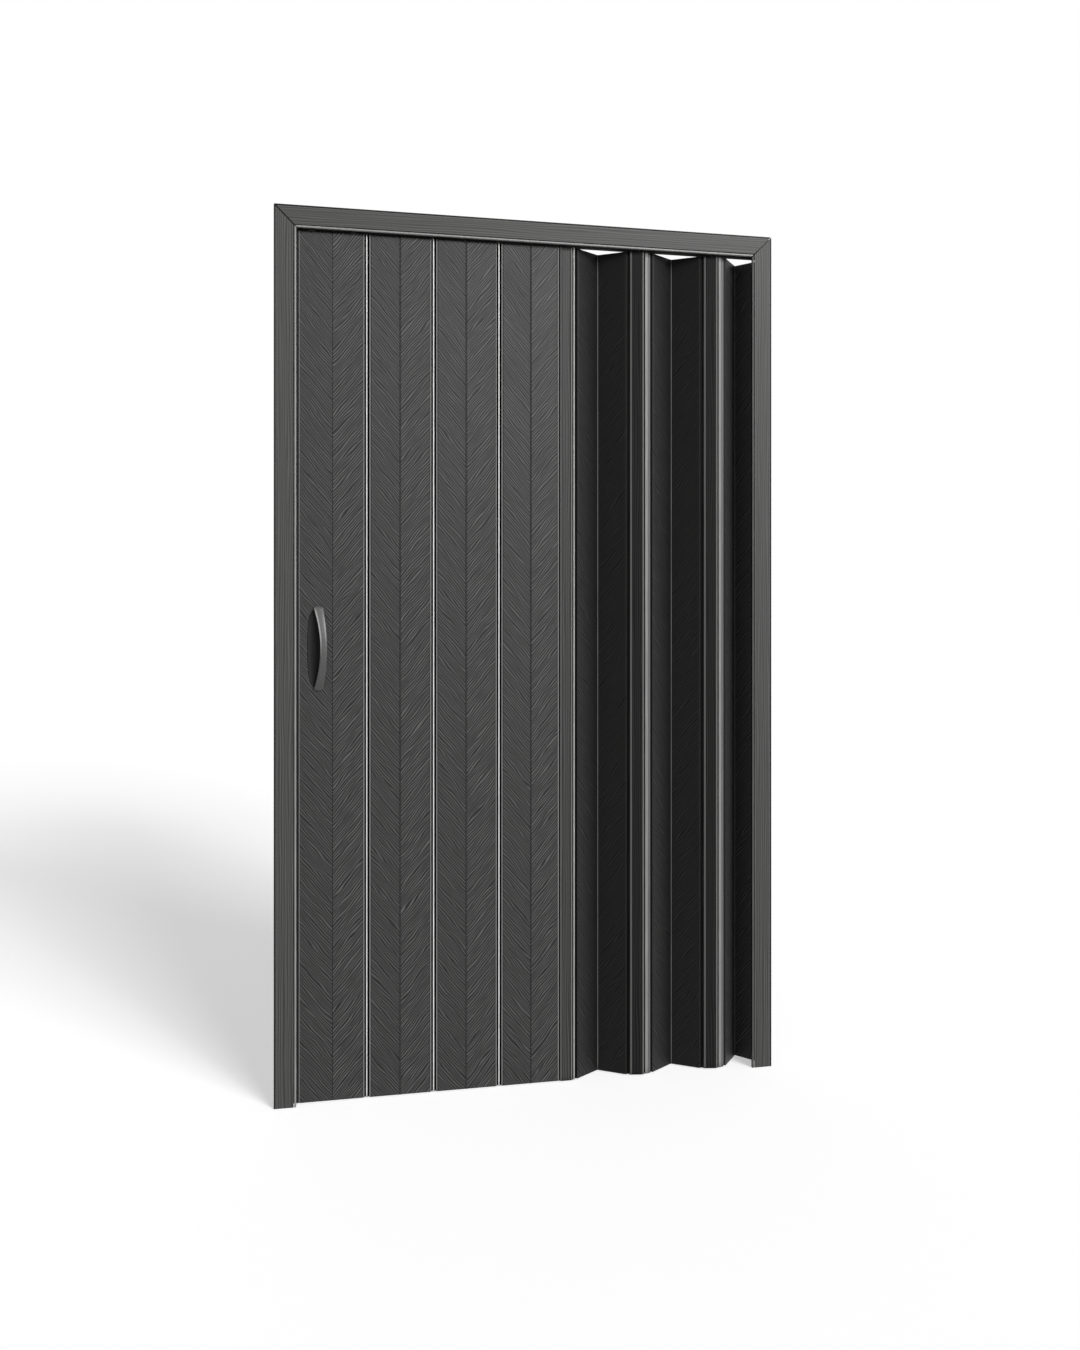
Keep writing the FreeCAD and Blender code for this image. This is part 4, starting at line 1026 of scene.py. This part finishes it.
        rib_end = start + rib
        bead_end = bead + bead_width
        face = eased([
            (EAR_ROOM, ear_front, 0),
            (EAR_ROOM, back, 0.0010),
            (bead, left_slope(bead), 0.0003),
            (bead + bead_slope, left_slope(bead) + bead_depth, 0.0003),
            (bead_end, left_slope(bead_end), 0.0003),
            (start, ridge, 0.0012),
            (rib_end, right_slope(rib_end), 0.0005),
            (rib_end, right_slope(rib_end) + thick, 0.0004),
            (edge, back + thick, 0.0006),
            (edge, ear_front, 0),
        ])
        outline = np.concatenate((face[:-1], self.bulb(width, -120, 180), self.bulb(0, 0, 300)[:-1]))
        outline = divided(outline, POST_EDGE)
        middle = width / 2
        cell_low = LEAF_FRONT + POST_WALL
        holes = [rectangle(CELL_END, cell_low, middle - POST_BOSS, -POST_WALL), self.bore(middle),
                 rectangle(middle + POST_BOSS, cell_low, width - CELL_END - cell_inset,
                           -POST_WALL - cell_sunk)]
        normal = np.array((climb, -1.0)) / math.hypot(climb, 1.0)
        relief = slope_relief(outline, normal, normal @ (EAR_ROOM, back), bead + 2 * smooth, start - smooth,
                              depth, seed)
        x, y = outline.T
        # Painted highlights on the slope up to the bead and on the rib, painted shade in the bead's groove,
        # at the rib's end and in the joint.
        bead_light = between(x, (0.0012, 0.1), (0.0022, 0.3), (bead - 0.0004, 0.3), (bead + 0.0004, -0.6))
        rib_light = between(x, (start + 0.0016, 0.0), (start + 0.0024, 0.5), (rib_end - 0.0005, 0.4),
                           (rib_end - 0.0001, -1.0))
        front_light = np.where(x < bead + bead_front, bead_light, rib_light)
        joint_shade = np.where((y < back + thick + seat_room) & (x > start), -1.0, 0.0)
        on_front = (y < back + bead_front) & (x < rib_end + rib_room)
        self.skin(name, body, "stack_post", outline, axis, holes, relief,
                  np.where(on_front, front_light, joint_shade))
        nose = rib_end + joint
        step = nose + step_reach
        end = edge + nose_reach
        strip = divided(eased([
            (nose, right_slope(nose), 0.0008),
            (step, right_slope(step), 0.0006),
            (step + step_slope, right_slope(step) + step_depth, 0.0002),
            (end, right_slope(end) + step_depth, 0.0008),
            (end, right_slope(end) + thick, 0.0004),
            (nose, right_slope(nose) + thick, 0.0003),
        ], closed=True), POST_EDGE)
        x, y = strip.T
        left_side = (y - right_slope(x) > nose_front) & (x < nose + nose_side)
        # The nose strip is darker past its step, and its left side is in painted shade.
        painted_light = np.where(x > step, step_darkening, np.where(left_side, -1.0, 0.0))
        self.nose(name, body, "nose", strip, axis, painted_light)


class DOOR_OT_handle(bpy.types.Operator):
    """Build the two dished cups and the two bowed grips of the handle."""

    bl_idname = "door.handle"
    bl_label = "Handle"

    def execute(self, context):
        for side, facing in (("front", -1), ("rear", 1)):
            show(self.cup(side, facing), finish("cup"), "lead", "handle_cup", f"handle_cup_{side}")
            show(self.grip(side, facing), finish("grip"), "lead", "handle_grip", f"handle_grip_{side}")
        return {"FINISHED"}

    def outward(self, rise, facing):
        """Y at a height above the panel's face on the given side."""
        return LEAF_FRONT - rise if facing < 0 else rise

    def cup_rings(self, a, b):
        """Profile of the cup as rows of two half sizes and a height above the panel's face: from the middle
        of the dish over its rounded rim to the middle of the back. The dish sinks by D (1 - q^2)^k at the
        share q of its own half size."""
        lift, bottom, inset, crown, half_gap = 0.0005, 0.0008, 0.0009, 0.0003, 0.0001
        core, back_share, dish_power = 0.04, 0.5, 0.7
        depth = THICKNESS / 2 - half_gap
        q = np.linspace(core, 1, 26)
        edge = lift - crown
        sunk = edge - (depth + edge - bottom) * (1 - q ** 2) ** dish_power
        dish = np.column_stack(((a - inset) * q, (b - inset) * q, sunk))
        over = np.radians(np.linspace(180, 0, 9))[1:]
        half = (CUP_RIM + inset) / 2
        out = half + half * np.cos(over) - inset
        outer = np.cos(over) >= 0
        bead = np.column_stack((a + out, b + out, np.where(outer, 2 * crown, crown) * np.sin(over)
                                + np.where(outer, 0, edge)))
        back = [(a, b, 0), (a, b, -depth), (a * back_share, b * back_share, -depth),
                (a * core, b * core, -depth)]
        return np.concatenate((dish, bead, back))

    def cup(self, side, facing):
        """Oval dish: the rings of its profile, closed by a fan of triangles at either end. Its left wall is
        lightened towards the rim, painted light over the cup's near black, which is painted shade."""
        count, light_gain, light_start = 120, 1.6, 0.5
        middle, hole = cup_oval()
        a, b = hole - CUP_PLAY
        rings = self.cup_rings(a, b)
        angle = np.linspace(0, 2 * math.pi, count, endpoint=False)
        if facing < 0:
            angle = angle[::-1]
        oval = round_oval(angle)
        x = middle[0] + rings[:, :1] * oval[:, 0]
        z = middle[1] + rings[:, 1:2] * oval[:, 1]
        y = np.broadcast_to(self.outward(rings[:, 2:], facing), x.shape)
        points = np.stack((x, y, z), axis=-1)
        centres = [(middle[0], points[row, 0, 1], middle[1]) for row in (0, -1)]
        vertices = np.concatenate((points.reshape(-1, 3), centres))
        rows = len(rings)
        ring = np.arange(count)
        following = np.roll(ring, -1)
        first = np.column_stack((following, ring, np.full(count, rows * count)))
        last_ring = (rows - 1) * count
        last = np.column_stack((last_ring + ring, last_ring + following, np.full(count, rows * count + 1)))
        # The dish's left wall is lightened towards the rim: painted light against the cup's painted shade.
        share = between(rings[:, 0] / a, (0.35, 0.0), (0.75, 0.35), (0.97, 0.9), (1.0, 0.0))
        left_side = np.clip(-light_gain * np.cos(angle) - light_start, 0, 1)
        painted_highlight = np.concatenate(((share[:, None] * left_side).ravel(), (0.0, 0.0)))
        mesh = new_mesh(f"handle_cup_{side}_shell", vertices, tube_quads(rows, count),
                        np.concatenate((first, last)), marks=marked(painted_highlight, 0.0, painted_highlight.shape))
        mesh.polygons.foreach_set("use_smooth", np.ones(len(mesh.polygons), bool))
        return mesh

    def grip(self, side, facing):
        """Bowed strap: a rounded section carried along z. At the share t of the half length its left edge
        stands in by B (1 - t^2), its right edge by C t^2, its outer face rises by f + (R - f)(1 - t^2) and
        its inner face follows the same bow less the strap's thickness, down to the feet on the panel. Its
        upper left edge carries a painted highlight, and its lower end and inner face are darkened with
        painted shade."""
        rows, count, left_bulge, right_bulge = 181, 40, 0.0165, 0.009
        foot_height, foot, thick, end, end_share = 0.005, 0.009, 0.0048, 0.007, 0.25
        width_power, height_power, tip, least_highlight = 0.55, 0.6, 0.9985, 0.02
        half = (GRIP_HIGH[2] - GRIP_LOW[2]) / 2
        middle = (GRIP_HIGH[2] + GRIP_LOW[2]) / 2
        rise = GRIP_HIGH[1] - GRIP_LOW[1]
        t = -np.cos(np.linspace(0, math.pi, rows))[:, None] * tip
        left = GRIP_LOW[0] + left_bulge * (1 - t ** 2)
        width = GRIP_HIGH[0] - right_bulge * t ** 2 - left
        outer = foot_height + (rise - foot_height) * (1 - t ** 2)
        inner = np.maximum((rise - thick) * (1 - (t * half / (half - foot)) ** 2), 0.0)
        shut = np.clip((np.abs(t) * half - (half - end)) / end, 0, 1)
        close = np.sqrt(1 - shut ** 2)
        outer = inner + (outer - inner) * (end_share + (1 - end_share) * close)
        angle = np.linspace(0, 2 * math.pi, count, endpoint=False)[None, :]
        if facing > 0:
            angle = angle[:, ::-1]
        across = np.sign(np.cos(angle)) * np.abs(np.cos(angle)) ** width_power
        out = -np.sign(np.sin(angle)) * np.abs(np.sin(angle)) ** height_power
        x = left + width / 2 + width / 2 * across * close
        y = self.outward((outer + inner) / 2 + (outer - inner) / 2 * out, facing)
        points = np.stack((x, y, np.broadcast_to(middle + half * t, x.shape)), axis=-1)
        # A painted highlight on the upper left edge, and painted shade on the lower end and the inner face.
        upper = between(t, (-0.2, 0.0), (0.3, 0.6), (0.85, 0.6), (0.97, 0.0))
        painted_highlight = upper * between(across, (-0.97, 0.6), (-0.8, 1.0), (-0.5, 0.0)) * (out > 0)
        painted_shade = between(t, (-1.0, -0.35), (0.3, 0.0)) + between(out, (-0.6, -1.0), (0.0, 0.0))
        painted_light = np.where(painted_highlight > least_highlight, painted_highlight, np.maximum(painted_shade, -1.0))
        return carried_mesh(f"handle_grip_{side}_bow", points[0, :, :2], points,
                            marks=marked(painted_light, 0.0, x.shape))


class DOOR_OT_hidden(bpy.types.Operator):
    """Give the track, gliders, screws and other small CAD pieces their finishes."""

    bl_idname = "door.hidden"
    bl_label = "Track and fittings"

    def execute(self, context):
        for finish_name, names in HIDDEN_FINISHES.items():
            for name in names:
                for slot in frame["nodes"][name].material_slots:
                    slot.material = finish(finish_name)
        return {"FINISHED"}


def set_inputs(tree, node, inputs):
    """Give inputs of a node, by name or number, the output of another node or a fixed value."""
    for key, value in inputs.items():
        if isinstance(value, bpy.types.NodeSocket):
            tree.links.new(value, node.inputs[key])
        else:
            node.inputs[key].default_value = value


def new_node(tree, kind, inputs, **settings):
    """Outputs of a new shader node with its settings and its inputs."""
    node = tree.nodes.new("ShaderNode" + kind)
    for key, value in settings.items():
        setattr(node, key, value)
    set_inputs(tree, node, inputs)
    return node.outputs


def stretched(tree, source, scale):
    """Coordinates drawn out by a different scale in each direction."""
    return new_node(tree, "Mapping", {"Vector": source, "Scale": scale})["Vector"]


def stretched_noise(tree, source, scale, detail):
    """Noise on drawn-out coordinates."""
    return new_node(tree, "TexNoise", {"Vector": stretched(tree, source, scale), "Scale": 1.0,
                                       "Detail": detail, "Roughness": 0.6})["Fac"]


def arithmetic(tree, operation, first, second):
    """Result of one sum on two outputs or fixed numbers."""
    return new_node(tree, "Math", {0: first, 1: second}, operation=operation)["Value"]


def strokes(tree, source, scale):
    """Short fine strokes side by side, round the level 0.5: a wave across the grain, pushed about by a
    drawn-out noise and faded in and out by another."""
    fade_scale, swing_share = 1.5, 0.6
    wave = new_node(tree, "TexWave", {"Vector": stretched(tree, source, scale), "Scale": 1.0,
                                      "Distortion": 8.0, "Detail": 1.0, "Detail Scale": 1.0})["Fac"]
    patches = stretched_noise(tree, source, tuple(fade_scale * part for part in scale), 1.0)
    fade = new_node(tree, "MapRange", {"Value": patches, "From Min": 0.3, "From Max": 0.66})["Result"]
    swing = arithmetic(tree, "MULTIPLY", arithmetic(tree, "SUBTRACT", wave, 0.5), fade)
    return arithmetic(tree, "ADD", arithmetic(tree, "MULTIPLY", swing, swing_share), 0.5)


def ramp(tree, level, stops):
    """Colours over a level: pairs of a place from 0 to 1 and a colour."""
    node = tree.nodes.new("ShaderNodeValToRGB")
    elements = node.color_ramp.elements
    elements[0].position, elements[1].position = stops[0][0], stops[-1][0]
    elements[0].color = (*stops[0][1], 1)
    elements[1].color = (*stops[-1][1], 1)
    for place, colour in stops[1:-1]:
        elements.new(place).color = (*colour, 1)
    set_inputs(tree, node, {"Fac": level})
    return node.outputs["Color"]


def shaded(colour, share):
    """The colour made darker or lighter by a share."""
    return tuple(min(part * share, 1.0) for part in colour)


def mixed(tree, blend, factor, first, second):
    """Colour that blends the second colour into the first, by a fixed share or a node's output."""
    return new_node(tree, "Mix", {"Factor": factor, "A": first, "B": second}, data_type="RGBA",
                    blend_type=blend)["Result"]


def streak_ramp(tree, level, colour, dark, light):
    """Dark, plain and light streaks of one colour over a level."""
    return ramp(tree, level, ((0.34, shaded(colour, dark)), (0.5, colour),
                              (0.6, shaded(colour, (1 + light) / 2)), (0.7, shaded(colour, light))))


def new_finish(name, colour, coordinates, scale, spread, roughness, specular, bump, metallic=0.0, highlight_colour=None,
               lit_streaks=None):
    """Material with streaks from dark to light, roughness that follows a broader noise, and a fine bump.
    On the grain's UV map the streaks are fine strokes, on the piece's own place a drawn-out noise. The
    marks' UV map gives where the brighter streaks and the colour of painted highlights, and the near
    black of painted shade, take over."""
    broad_scale, shade_colour = 0.27, (0.0015, 0.0015, 0.0015, 1)
    material = bpy.data.materials.new(name)
    material.use_nodes = True
    tree = material.node_tree
    if coordinates == "grain":
        source = new_node(tree, "UVMap", {}, uv_map="grain")["UV"]
        fine = strokes(tree, source, scale)
    else:
        source = new_node(tree, "TexCoord", {})["Object"]
        fine = stretched_noise(tree, source, scale, 0.8)
    broad = stretched_noise(tree, source, tuple(broad_scale * part for part in scale), 2.0)
    painted = streak_ramp(tree, fine, tuple(colour), *spread)
    if highlight_colour:
        marks = new_node(tree, "UVMap", {}, uv_map="marks")["UV"]
        parts = new_node(tree, "SeparateXYZ", {"Vector": marks})
    if lit_streaks:
        painted = mixed(tree, "MIX", parts["Y"], painted, streak_ramp(tree, fine, tuple(colour), *lit_streaks))
    tone = ramp(tree, broad, ((0.3, (0.97, 0.97, 0.97)), (0.7, (1.0, 1.0, 1.0))))
    painted = mixed(tree, "MULTIPLY", 1.0, painted, tone)
    if highlight_colour:
        # Positive marks blend in the colour of painted highlights, negative ones the near black of painted
        # shade.
        for full, taking_over in ((1.0, (*highlight_colour, 1)), (-1.0, shade_colour)):
            share = new_node(tree, "MapRange", {"Value": parts["X"], "From Max": full})["Result"]
            painted = mixed(tree, "MIX", share, painted, taking_over)
    rough = new_node(tree, "MapRange", {"Value": broad, "To Min": roughness[0], "To Max": roughness[1]})
    raised = new_node(tree, "Bump", {"Height": fine, "Strength": bump[0], "Distance": bump[1]})
    set_inputs(tree, tree.nodes["Principled BSDF"], {
        "Base Color": painted, "Metallic": metallic, "Roughness": rough["Result"],
        "Specular IOR Level": specular, "Normal": raised["Normal"]})
    return material


def finish(name):
    """The finish of that name, made on first use. A recipe holds the colour, the coordinates and their
    scale, the shares of the dark and light streaks, the ends of the roughness, the specular level, the
    bump's strength and height and, where it has them, the metal share, the colour of painted highlights
    and the shares of the brighter streaks, a painted highlight too."""
    found = bpy.data.materials.get("door_" + name)
    if found:
        return found
    colours = bpy.context.scene.door_finish
    painted_highlight = shaded(colours.nose, 1.45)
    leaf_grain = ("grain", (60, 12, 1), (0.35, 2.2), (0.4, 0.55))
    frame_grain = ("grain", (56, 3, 1), (0.6, 1.55), (0.42, 0.58))
    plain = ("own", (300.0, 300.0, 300.0))
    drawn = ("own", (260.0, 260.0, 14.0))
    brushed = ("own", (9.0, 420.0, 420.0))
    leaf_bump, stack_bump, frame_bump = (0.6, 0.0004), (0.5, 0.0003), (0.5, 0.0002)
    strip_bump, handle_bump, metal_bump = (0.15, 0.0001), (0.12, 0.0001), (0.2, 0.00005)
    # The folded leaves and the stack posts take darker, less glossy copies of the leaf graphite as painted
    # shade, the right-hand leaves and the posts darker still.
    deeper_shade = shaded(colours.stack, 0.6)
    recipes = {
        "leaf": (colours.leaf, *leaf_grain, 0.2, leaf_bump, 0.0, painted_highlight, (0.3, 3.0)),
        "stack_left": (colours.stack, *leaf_grain, 0.14, stack_bump, 0.0, painted_highlight, (0.6, 1.9)),
        "stack_right": (deeper_shade, *leaf_grain, 0.06, stack_bump, 0.0, painted_highlight, (0.65, 1.7)),
        "frame": (colours.frame, *frame_grain, 0.24, frame_bump, 0.0, painted_highlight),
        "post": (shaded(colours.frame, 0.72), *frame_grain, 0.2, frame_bump, 0.0, painted_highlight),
        "stack_post": (deeper_shade, *frame_grain, 0.06, frame_bump, 0.0, painted_highlight),
        "seam": (colours.seam, *drawn, (0.9, 1.06), (0.3, 0.42), 0.5, strip_bump, 0.0,
                 shaded(colours.seam, 1.1)),
        "nose": (colours.nose, *drawn, (0.88, 1.1), (0.35, 0.48), 0.4, strip_bump, 0.0,
                 shaded(colours.nose, 1.3)),
        # Light grey lips are a painted highlight; the right jamb's darker lip is their shaded copy.
        "lip": (colours.lip, *drawn, (0.85, 1.12), (0.35, 0.5), 0.4, strip_bump),
        "jamb_lip": (shaded(colours.frame, 1.3), *drawn, (0.8, 1.2), (0.45, 0.6), 0.2, strip_bump, 0.0,
                     painted_highlight),
        "valley": (colours.valley, *drawn, (0.85, 1.15), (0.4, 0.55), 0.3, strip_bump),
        "flat_valley": (shaded(colours.leaf, 0.9), *drawn, (0.8, 1.2), (0.5, 0.65), 0.2, strip_bump),
        "shadow": (shaded(colours.stack, 0.25), *drawn, (0.8, 1.2), (0.5, 0.65), 0.05, strip_bump),
        # The lead edge is darker than the leaves, painted shade of the gap beside the jamb.
        "edge": (shaded(colours.stack, 0.55), *drawn, (0.75, 1.3), (0.5, 0.65), 0.12, strip_bump),
        # The grip's highlight colour is a painted highlight; the cup's near black is painted shade of its
        # hollow, and its highlight colour painted light on the left wall.
        "grip": (colours.grip, *plain, (0.85, 1.15), (0.3, 0.42), 0.45, handle_bump, 0.0,
                 shaded(colours.seam, 0.9)),
        "cup": (colours.cup, *plain, (0.8, 1.2), (0.5, 0.65), 0.12, handle_bump, 0.0,
                shaded(colours.leaf, 0.9)),
        "aluminium": ((0.09, 0.09, 0.092), *brushed, (0.85, 1.15), (0.32, 0.48), 0.4, metal_bump, 0.9),
        "steel": ((0.5, 0.5, 0.51), *plain, (0.8, 1.1), (0.28, 0.45), 0.5, metal_bump, 1.0),
        "nylon": ((0.02, 0.02, 0.0195), *plain, (0.85, 1.15), (0.45, 0.6), 0.3, strip_bump),
        "magnet": ((0.03, 0.028, 0.027), *plain, (0.75, 1.3), (0.6, 0.75), 0.3, (0.2, 0.0001)),
    }
    return new_finish("door_" + name, *recipes[name])


def seen_level(tree, unseen, seen):
    """One strength for what lights the scene, and another for what the camera, gloss and glass see."""
    path = new_node(tree, "LightPath", {})
    direct = arithmetic(tree, "MAXIMUM", path["Is Camera Ray"], path["Is Glossy Ray"])
    either = arithmetic(tree, "MAXIMUM", direct, path["Is Transmission Ray"])
    return new_node(tree, "MapRange", {"Value": either, "To Min": unseen, "To Max": seen})["Result"]


class DOOR_OT_stage(bpy.types.Operator):
    """Set up the pale floor, the soft studio light and the camera of the photograph."""

    bl_idname = "door.stage"
    bl_label = "Stage"

    def execute(self, context):
        scene = context.scene
        stage = scene.door_stage
        scene.view_settings.view_transform = "Standard"
        self.floor(scene)
        self.world(scene, stage.ambient)
        self.lamp(scene, "key", stage.key_strength)
        self.lamp(scene, "second", stage.second_strength)
        data = bpy.data.cameras.new("camera")
        data.lens = stage.lens
        data.sensor_width = SENSOR_WIDTH
        data.shift_y = stage.shift
        camera = bpy.data.objects.new("camera", data)
        camera.location = stage.camera_place
        camera.rotation_euler = (math.pi / 2, 0.0, -stage.camera_turn)
        scene.collection.objects.link(camera)
        scene.camera = camera
        return {"FINISHED"}

    def floor(self, scene):
        """Pale floor, large enough to leave no edge in view."""
        line = np.linspace(-FLOOR_REACH, FLOOR_REACH, FLOOR_LINES)
        x, y = np.meshgrid(line, line)
        points = np.stack((x, y, np.full_like(x, FLOOR)), axis=-1).reshape(-1, 3)
        index = np.arange(FLOOR_LINES ** 2).reshape(FLOOR_LINES, FLOOR_LINES)
        quads = np.stack((index[:-1, :-1], index[:-1, 1:], index[1:, 1:], index[1:, :-1]), axis=-1)
        mesh = new_mesh("floor", points, quads.reshape(-1, 4), np.zeros((0, 3), int))
        floor = bpy.data.objects.new("floor", mesh)
        scene.collection.objects.link(floor)
        material = bpy.data.materials.new("door_floor")
        material.use_nodes = True
        tree = material.node_tree
        set_inputs(tree, tree.nodes["Principled BSDF"], {
            "Base Color": (*scene.door_finish.floor, 1), "Roughness": 0.8, "Specular IOR Level": 0.1,
            "Emission Color": (1, 1, 1, 1),
            "Emission Strength": seen_level(tree, 0.0, scene.door_stage.floor_glow)})
        mesh.materials.append(material)

    def world(self, scene, ambient):
        """Even light from all round, which the camera, gloss and glass see as white."""
        world = bpy.data.worlds.new("studio")
        world.use_nodes = True
        tree = world.node_tree
        set_inputs(tree, tree.nodes["Background"], {
            "Color": (1, 1, 1, 1), "Strength": seen_level(tree, ambient, 1.0)})
        scene.world = world

    def lamp(self, scene, name, strength):
        """Set a soft light in its place, turned towards the aim."""
        light = bpy.data.lights.new(name, "SUN")
        light.energy = strength
        light.angle = scene.door_stage.softness
        lamp = bpy.data.objects.new(name, light)
        lamp.location = LIGHT_PLACES[name]
        ahead = np.array(LIGHT_AIM) - np.array(LIGHT_PLACES[name])
        flat = math.hypot(ahead[0], ahead[1])
        lamp.rotation_euler = (math.atan2(flat, -ahead[2]), 0.0, math.atan2(-ahead[0], ahead[1]))
        scene.collection.objects.link(lamp)


class DOOR_PT_panel(bpy.types.Panel):
    """Sizes, colours and steps of the door."""

    bl_idname = "DOOR_PT_panel"
    bl_label = "Accordion door"
    bl_space_type = "VIEW_3D"
    bl_region_type = "UI"
    bl_category = "Door"

    def draw(self, context):
        scene = context.scene
        for group in (scene.door_shape, scene.door_finish, scene.door_stage):
            box = self.layout.box()
            for name in group.__annotations__:
                box.prop(group, name)
        for operator in OPERATORS:
            self.layout.operator(operator.bl_idname)


OPERATORS = (DOOR_OT_stage, DOOR_OT_frame, DOOR_OT_lead_panel, DOOR_OT_leaves, DOOR_OT_beads,
             DOOR_OT_posts, DOOR_OT_handle, DOOR_OT_hidden)
GROUPS = {"door_shape": DoorShape, "door_finish": DoorFinish, "door_stage": DoorStage}


def register():
    """Register the groups of settings, the steps and the panel."""
    for name, group in GROUPS.items():
        bpy.utils.register_class(group)
        setattr(bpy.types.Scene, name, PointerProperty(type=group))
    for entry in OPERATORS + (DOOR_PT_panel,):
        bpy.utils.register_class(entry)


def unregister():
    """Take the panel, the steps and the groups of settings away again."""
    for entry in (DOOR_PT_panel,) + OPERATORS[::-1]:
        bpy.utils.unregister_class(entry)
    for name, group in GROUPS.items():
        delattr(bpy.types.Scene, name)
        bpy.utils.unregister_class(group)


def main():
    """Build the whole scene."""
    register()
    bpy.ops.door.stage()
    bpy.ops.door.frame()
    bpy.ops.door.lead_panel()
    bpy.ops.door.leaves()
    bpy.ops.door.beads()
    bpy.ops.door.posts()
    bpy.ops.door.handle()
    bpy.ops.door.hidden()


if __name__ == "__main__":
    main()
